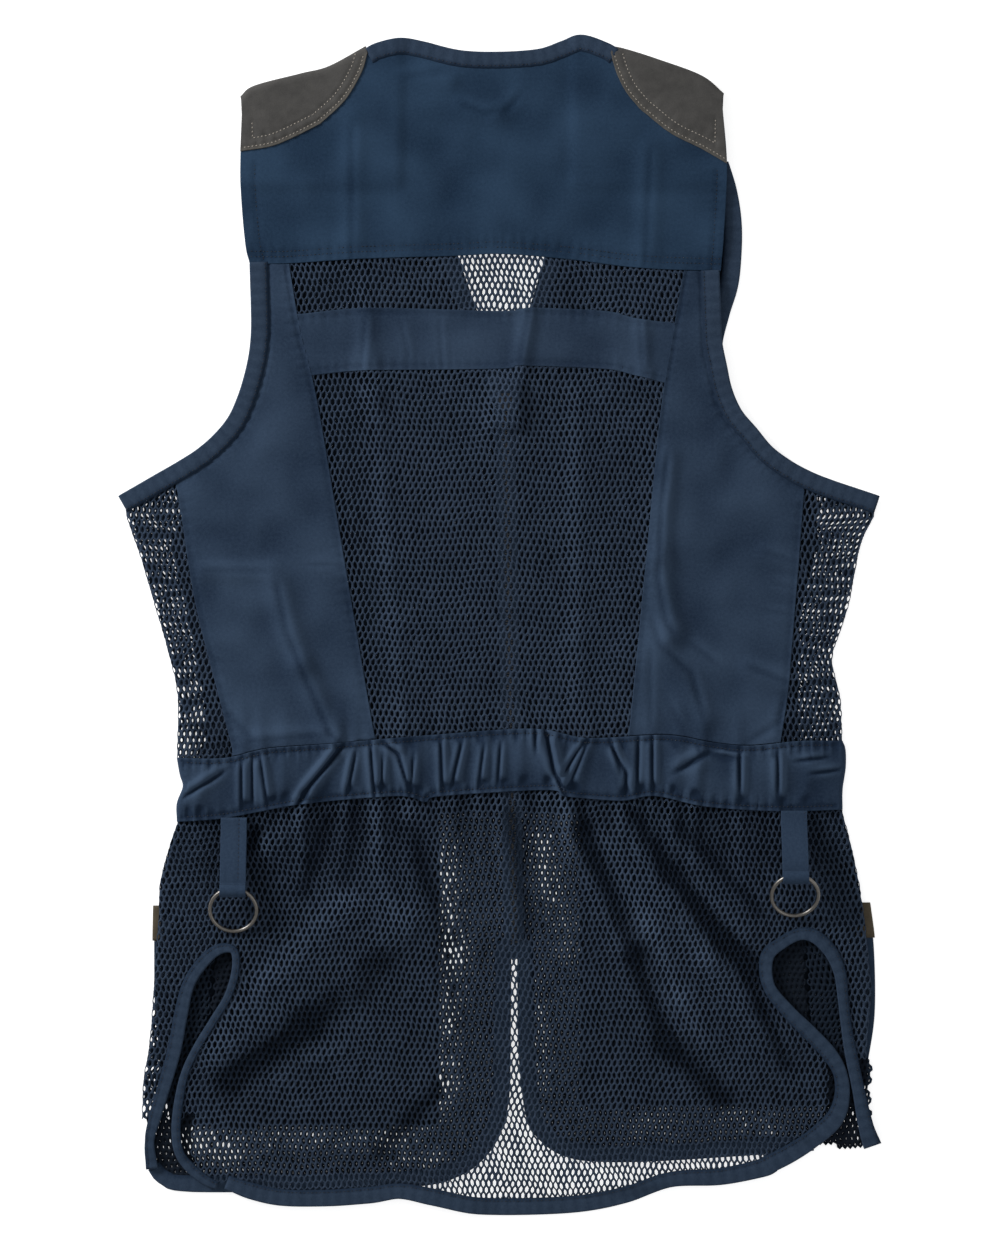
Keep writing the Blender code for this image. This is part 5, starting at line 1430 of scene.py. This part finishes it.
def lower_net():
    """Net from the waist to the hem, cut out at the two vents."""
    vents = []
    for side, sign in SIDES.items():
        edge = tape_border(VENT_TAPE[side], -sign, -TUCK)
        last = nearest(edge, VENT_FOOT[side])
        vents.append(np.vstack([[edge[0, 0], -420.0], edge[:last + 1], [edge[last, 0], -420.0]]))
    hem = tape_border(HEM_TAPE, 1.0, -TUCK)
    hem = hem[np.argsort(hem[:, 0])]

    def inside(x, y):
        laid = net_surface(x, y)
        place = laid[..., 0]
        side_left = x < 0.0
        on_back = np.abs(x) < flat_limit(x, y)
        seam = np.where(side_left, front_seam_x("left", y), front_seam_x("right", y))
        waist = waist_edge(WAIST_BOTTOM, place)
        strip = np.where(side_left, STRIP_END["left"], STRIP_END["right"])
        beyond = np.where(side_left, place < -200.0, place > 215.0)
        low = np.where(beyond, strip, np.interp(place, hem[:, 0], hem[:, 1]))
        on_front = (np.abs(place) > np.abs(seam) - TUCK) & (y > strip)
        kept = (y < waist + TUCK) & (y > low) & (on_back | on_front)
        for vent in vents:
            kept = kept & ~(within(vent, x, y) & on_back)
        return kept

    net("lower_net_threads", ((-290, -385), (305, -105)), inside, net_surface, NET, "lower_back_net",
               wrapped, 8)


lower_net()

# %% [markdown]
# A binding is a strip 24 mm wide, folded over the raw edge to 12 mm. Its section is a C: it
# starts under the cloth, turns round the free edge and ends on top, where a row of stitches
# holds both walls. The section is carried along the tape's centre line.

# %% Binding maker
TAPE_WALL = 0.34
TAPE_STEP = 1.6
PLAIN_STEP = 3.0
BACK_CLASP = (0.15, 1.86)
FRONT_CLASP = (0.2, 1.75)
STITCH_IN = 1.9


def clasp(low, high, half):
    """Section of the C as places towards the free edge and heights, for tapes of half widths half."""
    half = half[:, None]
    turn = np.linspace(-0.5 * pi, 0.5 * pi, 7)[None]
    middle, radius = 0.5 * (low + high), 0.5 * (high - low)
    run = np.linspace(0.0, 1.0, 7)[None]
    reach = -half + 0.1 + run * (2 * half - radius - 0.5)
    crown = 0.16 * np.sin(pi * run) - 0.25 * (run == 0.0)
    towards = np.hstack([reach, half - radius + radius * np.cos(turn), reach[:, ::-1]])
    height = np.hstack([low + 0.0 * reach, middle + radius * np.sin(turn) + 0.0 * half,
                        (high + crown + 0.0 * reach)[:, ::-1]])
    return towards, height


def binding(name, rows, free_hand, base, clasps, node, stitched=True):
    """Folded strip along a centre line; base(x, y) is the height of the layer that it clasps."""
    step = TAPE_STEP if stitched else PLAIN_STEP
    count = int(length_of(spline(rows)) / step)
    centre, width = tape_line(rows, count)
    left = left_hand(centre)
    towards, height = clasp(*clasps, 0.5 * width[:, 0])
    xy = centre[:, None] + left[:, None] * (free_hand * towards)[..., None]
    along = np.arange(count)[:, None] * step + 0.0 * towards
    on_top = smooth(0.5 * sum(clasps), clasps[1] - 0.1, height)
    waves = 0.2 * np.sin(2 * pi * along / 7.5 + 1.2 * np.sin(along / 15.0))
    trough = 0.3 * np.exp(-(((towards + 0.5 * width - STITCH_IN) / 0.9) ** 2))
    rise = on_top * (0.5 * waves - trough)
    # Painted light and shade: the tape's puckers colour it by their relief, and a painted dark line of shade
    # runs along its clasped edge.
    shade = 2.5 * rise - 1.6 * np.exp(-(((towards + 0.5 * width) / 1.0) ** 2))
    points = np.dstack([xy, base(xy[..., 0], xy[..., 1]) + height + rise])
    flat = np.dstack([along, np.cumsum(1.2 + 0.0 * towards, axis=1)])
    sheet = sheet_of(points, flat, shade)
    if free_hand < 0:
        sheet = tuple(part[:, ::-1] for part in sheet)
    if stitched:
        stitch = centre - left * free_hand * (0.5 * width - STITCH_IN)
        top = base(stitch[:, 0], stitch[:, 1]) + clasps[1] + 0.5 * TAPE_WALL - 0.12
        STITCHES["navy thread"].append(np.column_stack([stitch, top]))
    cloth(name, [sheet], BINDING, TAPE_WALL, node)


def armhole_rows(outline, side):
    """Rows x, y, width of a tape that lies inside an armhole's outline."""
    centre = spline(outline[side], 14)
    return [(x, y, TAPE) for x, y in centre - left_hand(centre) * SIDES[side] * TAPE / 2]


# %% [markdown]
# The bindings of the back: neck, hem, the two armholes and the two vents. Each clasps the cloth
# on one hand of its line and is free on the other.

# %% Bindings of the back
binding("neck_strip", NECK_TAPE, 1, back_face, BACK_CLASP, "neck_binding")
binding("hem_strip", HEM_TAPE, -1, back_face, BACK_CLASP, "hem_binding")
for side, sign in SIDES.items():
    binding("armhole_strip_" + side, armhole_rows(ARMHOLE, side), sign, back_face, BACK_CLASP,
            "armhole_binding_" + side)
    binding("vent_strip_" + side, VENT_TAPE[side], sign, back_face, BACK_CLASP, "vent_binding_" + side)

# %% [markdown]
# The front layer lies under all this. Little of it shows, so it is cut plainly: a cotton chest
# with a V neck on each side, a strip of cotton over the pocket, and net below the waist.

# %% Cotton fronts
FRONT_LEVEL = 0.65
FRONT_NET_LEVEL = 1.25
FRONT_WALL = 0.5
FRONT_STEP = 4.0
POCKET_LEVEL = 0.75
ALLOWANCE = {"left": 15.0, "right": 7.0}


def over_front(grid):
    """Sheet of the front layer over its outer face, with a gentle unevenness."""
    x, y = grid[..., 0], grid[..., 1]
    wave = 0.05 + 0.05 * np.sin(x / 17.0 + 2.0 * np.sin(y / 29.0))
    # The wave's relief paints a faint light into the colour where the cloth rises.
    return sheet_of(np.dstack([x, y, front_face(x, y) + FRONT_LEVEL + wave]), grid, 2.0 * wave)


def zip_x(y):
    """X of the zip's middle at a height y."""
    share = (ZIP_TOP[1] - y) / (ZIP_TOP[1] - ZIP_END[1])
    return ZIP_TOP[0] + (ZIP_END[0] - ZIP_TOP[0]) * share


def neck_rows(side):
    """Rows of the tape along one side of the front neck edge."""
    return [(x, y, 11.0) for x, y in line(*FRONT_NECK[side], 8)]


def front_cotton(side):
    """Chest from the shoulder to the waist, and the strip of cotton over the pocket."""
    sign = SIDES[side]
    neck = tape_border(neck_rows(side), sign, -TUCK)
    neck = neck[(neck[:, 1] < YOKE_FRONT[side][1][1] - 0.6) & (neck[:, 1] > 143.0)]
    zip_y = np.linspace(138.0, WAIST_CUT, 60)
    inner = np.vstack([neck, np.column_stack([zip_x(zip_y) + sign * (ZIP_WIDTH / 2 - 2.0), zip_y])])
    seam_y = np.linspace(76.0, WAIST_CUT, 60)
    allowed = ALLOWANCE[side] * smooth(76.0, 50.0, seam_y)
    seam_x = np.minimum(np.abs(front_seam_x(side, seam_y)) - 0.4 + allowed, flat_limit(sign, seam_y) - 2.0)
    seam = np.column_stack([sign * seam_x, seam_y])
    hole = beside(FRONT_ARMHOLE[side], -sign * (TAPE - TUCK), 300)
    hole = hole[(np.abs(hole[:, 0]) < abs(seam[0, 0]) - 1.0)]
    outer = np.vstack([hole, seam])
    pocket_x = POCKET[side]["inner"]
    bottom = np.array([[outer[-1, 0], WAIST_CUT], [inner[-1, 0], WAIST_CUT]])
    chest = [bottom, np.array([outer[0], inner[0]]), outer[::-1], inner[::-1]]
    flank_y = np.linspace(POCKET_TOP, FLANK_TOP[side], 30)
    flank_out = np.column_stack([sign * (flat_limit(sign, flank_y) + 2.7), flank_y])
    low, high = (pocket_x, POCKET_TOP), (pocket_x, FLANK_TOP[side])
    flank = [np.array([flank_out[0], low]), np.array([flank_out[-1], high]), flank_out, line(low, high, 30)]
    sheets = [over_front(side_patch(side, *edges, FRONT_STEP)) for edges in (chest, flank)]
    # The chest's up face is painted shade, nearly black.
    cloth("front_cotton_" + side, sheets, INNER_COTTON_PAINTED_SHADE, FRONT_WALL, "front_" + side)


for side in SIDES:
    front_cotton(side)

# %% [markdown]
# The net below the waist of each front ends in a rounded corner beside the zip's lower end.
# Through the open back net one sees that corner and the white table between the two fronts.

# %% Front nets
LIGHT_PATCHES = [
    # x0, y0, x1, y1, width, added openness
    (-36, -150, -30, -215, 9, 0.45), (-30, -215, -36, -300, 8, 0.40), (-36, -300, -46, -322, 9, 0.35),
    (28, -142, 34, -176, 9, 0.45), (40, -190, 46, -214, 9, 0.18), (-150, -336, -60, -336, 7, 0.28),
    (24, -232, 30, -300, 6, 0.22), (90, -330, 110, -326, 8, 0.20), (-206, -335, -175, -345, 12, 0.6),
    (150, -322, 175, -330, 9, 0.2), (-66, -350, -40, -350, 6, 0.3), (232, -298, 240, -335, 7, 0.7),
]

FRONT_ROUND = -210.0


def veil(x, y):
    """How open the front net looks: nearly shut, but for soft patches that let the table through."""
    return 0.03 + 0.62 * ridges(x, y, LIGHT_PATCHES)


def front_net(side):
    """Net of one front, inside an outline made of its neighbours' edges."""
    sign = SIDES[side]
    pocket_x = POCKET[side]["inner"]
    border = tape_border(FRONT_HEM_TAPE[side], -sign, -TUCK)
    high, low = WAIST_CUT + TUCK, POCKET_TOP + TUCK
    zip_edge = sign * (ZIP_WIDTH / 2 - 1.2)
    seam_y = np.linspace(low, STRIP_END[side], 20)
    seam = np.column_stack([front_seam_x(side, seam_y) - sign * (TUCK + 1.0), seam_y])
    zip_side = [(zip_x(y) + zip_edge, y) for y in (FRONT_ROUND, high)]
    pocket_side = [(pocket_x + sign * TUCK, y) for y in (high, low)]
    foot = [(FRONT_FOOT[side][0], STRIP_END[side]), FRONT_FOOT[side]]
    outline = np.vstack([border, zip_side, pocket_side, seam, foot])

    def surface(x, y):
        return np.stack([x, y + 0.0 * x, front_face(x, y) + FRONT_NET_LEVEL], axis=-1)

    box = (outline.min(axis=0), outline.max(axis=0))
    net("front_net_threads_" + side, box, lambda x, y: within(outline, x, y), surface, FRONT_NET_PAINTED_SHADE,
               "front_net_" + side, veil, 12, 0.45)


for side in SIDES:
    front_net(side)

# %% [markdown]
# The bindings of the front layer clasp its neck, armhole and hem edges. Outside the front net,
# on the table, lies a plain pocket on each side, with a tan suede corner at its mouth.

# %% Front bindings and pockets
for side, sign in SIDES.items():
    tapes = (("armhole", armhole_rows(FRONT_ARMHOLE, side), sign), ("neck", neck_rows(side), -sign),
             ("hem", FRONT_HEM_TAPE[side], sign))
    for place, rows, hand in tapes:
        binding("front_%s_strip_%s" % (place, side), rows, hand, front_face, FRONT_CLASP,
                "front_%s_binding_%s" % (place, side), stitched=False)


def pocket(side):
    """Pocket and the suede that is folded over the outer end of its mouth."""
    sign = SIDES[side]
    size = POCKET[side]
    outer, inner, top, low = size["outer"], size["inner"], size["top"], size["bottom"]
    corner = sign * POCKET_CORNER[side]
    edge = spline([(outer - corner, top), (outer - 0.3 * corner, top - 30.0), (outer - sign, top - 73.0),
                   (outer - sign * 6.0, top - 108.0), (size["low_outer"], low)])[::-1]
    straight = line((inner, low), (inner, top), 40)
    bottom, mouth = line(edge[0], straight[0], 20), line(edge[-1], straight[-1], 20)
    grid = side_patch(side, bottom, mouth, edge, straight, FRONT_STEP)
    # The pocket is navy only past its rim, where it shows; the rest, under the back's net, is painted shade.
    shown = smooth(size["rim"] - 3.0, size["rim"], sign * grid[..., 0])
    sheet = sheet_of(np.dstack([grid, POCKET_LEVEL + 0.0 * shown]), grid, near=shown)
    cloth("pocket_cotton_" + side, [sheet], INNER_COTTON_PAINTED_SHADE, FRONT_WALL, "pocket_" + side)
    down = np.linspace(0.0, TRIM_SIZE[1], 14)[:, None]
    turn = np.linspace(-0.5 * pi, 0.5 * pi, 7)
    reach = np.concatenate([np.linspace(-TRIM_SIZE[0], -0.8, 10), np.cos(turn), np.linspace(-0.8, -13.0, 9)])
    high = np.concatenate([np.full(10, 0.22), 0.73 + 0.51 * np.sin(turn), np.full(9, 1.24)])
    y = top - down + 0.0 * reach
    x = np.interp(y, edge[:, 1], edge[:, 0]) + sign * reach
    sheet = sheet_of(np.dstack([x, y, high + 0.0 * y]), np.dstack([x + sign * high, y]))
    if side == "right":
        sheet = tuple(part[::-1] for part in sheet)
    cloth("pocket_suede_" + side, [sheet], TAN_SUEDE, 0.36, "pocket_trim_" + side)


for side in SIDES:
    pocket(side)

# %% [markdown]
# Each ring hangs from a doubled strap. The strap leaves the waist's lower seam, goes round the
# ring's wire in a small eye and comes back under itself. The ring's place is the joint's own.

# %% Ring straps
STRAP_WIDTH = 17.0
STRAP_WALL = 1.1
STRAP_GAP = 1.6
EYE_TURN = 3.85
STRAP_TOP = {"left": -126.0, "right": -121.5}
RING_RADIUS = 15.2
RING_WIRE = 1.3
RING_TILT = {"left": radians(21.0), "right": radians(27.0)}
JOINTS = {joint["name"]: joint for joint in frame["record"]["behaviour"]["joints"]}
RING_EYE = {side: np.array(JOINTS[side + "_ring_swing"]["pos_m"]) / MM - [*SHIFT, 0.0] for side in SIDES}


def strap_section(side):
    """Line of the strap's middle in Y and Z: down, round the eye, and back up."""
    x, eye_y, eye_z = RING_EYE[side]
    top = STRAP_TOP[side]
    spread = np.linspace(-12.0, 12.0, 9)
    start = float(back_face(x + spread, np.full(9, top)).max()) + 1.3 + 0.5 * STRAP_WALL
    heading = np.arctan2(eye_z - start - STRAP_GAP / 2, top - eye_y)
    opening = np.arcsin(STRAP_GAP / 2 / EYE_TURN)
    back = EYE_TURN * np.cos(opening)
    ends = [np.array([eye_y + back * np.cos(heading) + hand * STRAP_GAP / 2 * np.sin(heading),
                      eye_z - back * np.sin(heading) - hand * STRAP_GAP / 2 * np.cos(heading)])
            for hand in (1, -1)]
    t = np.linspace(0.0, 1.0, 24)[:, None]
    rise = smooth(0.0, 1.0, t)
    down = np.hstack([top * (1 - t) + ends[0][0] * t, start * (1 - rise) + ends[0][1] * rise])
    up = np.hstack([ends[1][0] * (1 - t) + top * t, ends[1][1] * (1 - rise) + (start + STRAP_GAP) * rise])
    first, last = [np.arctan2(end[1] - eye_z, end[0] - eye_y) for end in ends]
    turn = np.linspace(first, last - 2 * pi, 30)[1:-1]
    eye = np.column_stack([eye_y + EYE_TURN * np.cos(turn), eye_z + EYE_TURN * np.sin(turn)])
    return np.vstack([down, eye, up])


STRAP_ROW = 22


def ring_strap(side):
    """Strap's section carried across its width, with a row of stitches down its middle or edge."""
    section = strap_section(side)
    across = stops(STRAP_WIDTH, 1.5) * STRAP_WIDTH - STRAP_WIDTH / 2
    fold_x = 3.4 if side == "left" else 7.0
    dent = 0.3 * np.exp(-(((across - fold_x) / 0.8) ** 2))
    x = RING_EYE[side][0] + across[None] + 0.0 * section[:, :1]
    points = np.dstack([x, section[:, :1] + 0.0 * x, section[:, 1:] - dent[None]])
    along = np.cumsum(np.linalg.norm(np.diff(section, axis=0, prepend=section[:1]), axis=1))
    flat = np.dstack([x, along[:, None] + 0.0 * x])
    # The dent's relief paints a thin line of shade into the strap's colour.
    sheet = sheet_of(points, flat, -dent[None])
    top = section[-STRAP_ROW:]
    row_x = np.full(STRAP_ROW, RING_EYE[side][0] + fold_x)
    STITCHES["navy thread"].append(np.column_stack([row_x, top[:, 0], top[:, 1] + 0.5 * STRAP_WALL - 0.2]))
    cloth("strap_" + side, [tuple(part[::-1] for part in sheet)], COTTON, STRAP_WALL, "ring_strap_" + side)


for side in SIDES:
    ring_strap(side)

# %% [markdown]
# A ring is a torus: a circle of wire carried round a larger circle. It turns about its strap's
# eye, so it rides on its own body.

# %% Rings
AROUND_RING = 96
AROUND_WIRE = 20


def ring(side):
    """Torus: x = (R + r cos b) sin a, y = (R + r cos b) cos a, z = r sin b, tilted down from the eye."""
    a = np.linspace(0.0, 2 * pi, AROUND_RING, endpoint=False)[:, None]
    b = np.linspace(0.0, 2 * pi, AROUND_WIRE, endpoint=False)[None]
    half = STRAP_WIDTH / 2
    arm = 0.5 * (RING_RADIUS + np.sqrt(RING_RADIUS**2 - half**2))
    reach = RING_RADIUS + RING_WIRE * np.cos(b)
    x, y, z = reach * np.sin(a), reach * np.cos(a) - arm, RING_WIRE * np.sin(b) + 0.0 * a
    tilt = RING_TILT[side]
    turned = [x, y * np.cos(tilt) - z * np.sin(tilt), y * np.sin(tilt) + z * np.cos(tilt)]
    points = np.stack(turned, -1) + RING_EYE[side]
    index = np.arange(AROUND_RING * AROUND_WIRE).reshape(AROUND_RING, AROUND_WIRE)
    after, over = np.roll(index, -1, axis=0), np.roll(index, -1, axis=1)
    faces = np.stack([index, over, np.roll(after, -1, axis=1), after], -1).reshape(-1, 4)
    uv = np.stack([RING_RADIUS * a + 0.0 * b, RING_WIRE * b + 0.0 * a], -1).reshape(-1, 2)
    piece = put("steel_ring_" + side, points.reshape(-1, 3), faces, GUNMETAL, uv)
    settle(piece, side + "_ring", "ring_" + side)
    print(piece.name, "eye at", RING_EYE[side].round(1))


for side in SIDES:
    ring(side)

# %% [markdown]
# The zip is closed: a tape on each side of a chain of metal teeth, left and right in turn. The
# teeth are the small glints that one sees through the middle net.

# %% Zip
TOOTH_PITCH = 1.7
TOOTH = (3.0, 0.95, 1.3)
ZIP_LEVEL = 1.4


def zip_tape():
    """Both tapes of the zip as one strip under the chain."""
    y = stops(390.0, 4.0) * 390.0 + ZIP_END[1] - 9.0
    across = stops(ZIP_WIDTH, 2.0) * ZIP_WIDTH - ZIP_WIDTH / 2
    x = zip_x(y)[:, None] + across[None] * (1.0 + 0.7 * smooth(143.0, 152.0, y))[:, None]
    y = y[:, None] + 0.0 * x
    points = np.dstack([x, y, front_face(x, y) + ZIP_LEVEL])
    sheet = sheet_of(points, np.dstack([x, y]))
    cloth("zip_tape", [sheet], BINDING, 0.4, "zip")


TEETH_TOP = 139.0
TOOTH_SHIFT = 0.9
TOOTH_LEVEL = 0.35
TOOTH_TOP = (0.85, 0.7, 1.0)
BOX_CORNERS = [(x, y, z) for z in (-1, 1) for x, y in ((-1, -1), (1, -1), (1, 1), (-1, 1))]
BOX_FACES = [(3, 2, 1, 0), (4, 5, 6, 7), (0, 1, 5, 4), (1, 2, 6, 5), (2, 3, 7, 6), (3, 0, 4, 7)]


def zip_chain():
    """Teeth: boxes with a narrower top, shifted left and right of the middle in turn."""
    y = np.arange(TEETH_TOP, ZIP_END[1] + 1.0, -TOOTH_PITCH / 2)
    hand = np.where(np.arange(len(y)) % 2 == 0, 1.0, -1.0)
    corner = np.array(BOX_CORNERS, float)
    local = corner * np.array(TOOTH) / 2 * np.where(corner[:, 2:] > 0, TOOTH_TOP, 1.0)
    level = front_face(zip_x(y), y) + ZIP_LEVEL + TOOTH_LEVEL
    centre = np.column_stack([zip_x(y) + TOOTH_SHIFT * hand, y, level])
    points = (centre[:, None] + local[None]).reshape(-1, 3)
    faces = (np.array(BOX_FACES)[None] + 8 * np.arange(len(y))[:, None, None]).reshape(-1, 4)
    piece = put("zip_teeth", points, faces, ZIP_METAL, points[:, :2])
    piece.data.polygons.foreach_set("use_smooth", np.zeros(len(faces), bool))
    settle(piece, "vest", "zip")
    print("zip teeth:", len(y))


zip_tape()
zip_chain()
for node in ("zip_slider", "zip_bail", "zip_pull"):
    frame["nodes"][node].data.materials.clear()
    frame["nodes"][node].data.materials.append(ZIP_METAL)

# %% [markdown]
# A topstitch is a row of short thread grains. Each grain is a stretched octahedron of eight
# triangles, enough for a thing half a millimetre thick, and all grains of one thread are one
# mesh.

# %% Stitches
GRAINS = {"navy": (1.8, 0.75, 0.26), "tan": (1.9, 0.85, 0.36)}
GRAIN_PITCH = 2.6
GRAIN_FACES = [(0, 2, 5), (2, 1, 5), (1, 3, 5), (3, 0, 5), (2, 0, 4), (1, 2, 4), (3, 1, 4), (0, 3, 4)]


def grains(name, rows, material, size):
    """Mesh of stitches along rows of points, with a small gap after each."""
    length, width, height = size
    centres = []
    ways = []
    for row in rows:
        count = max(2, int(length_of(row) / GRAIN_PITCH))
        shares = (np.arange(count) + 0.5) / count
        reach = 0.5 * length / length_of(row)
        ahead, behind = walk(row, np.clip(shares + reach, 0, 1)), walk(row, np.clip(shares - reach, 0, 1))
        centres.append(0.5 * (ahead + behind))
        ways.append(0.5 * (ahead - behind))
    centre, way = np.vstack(centres), np.vstack(ways)
    side = np.column_stack([-way[:, 1], way[:, 0], 0.0 * way[:, 0]])
    side = side / np.linalg.norm(side, axis=1, keepdims=True) * width / 2
    up = np.array([0.0, 0.0, height])
    tips = [centre + hand * arm for arm in (way, side, up) for hand in (-1, 1)]
    points = np.stack(tips, axis=1)
    faces = (np.array(GRAIN_FACES)[None] + 6 * np.arange(len(centre))[:, None, None]).reshape(-1, 3)
    points = points.reshape(-1, 3)
    piece = put(name, points, faces, material, points[:, :2])
    settle(piece, "vest")
    print(name, len(centre), "stitches")


grains("navy_stitches", STITCHES["navy thread"], NAVY_THREAD, GRAINS["navy"])
grains("tan_stitches", STITCHES["tan thread"], TAN_THREAD, GRAINS["tan"])
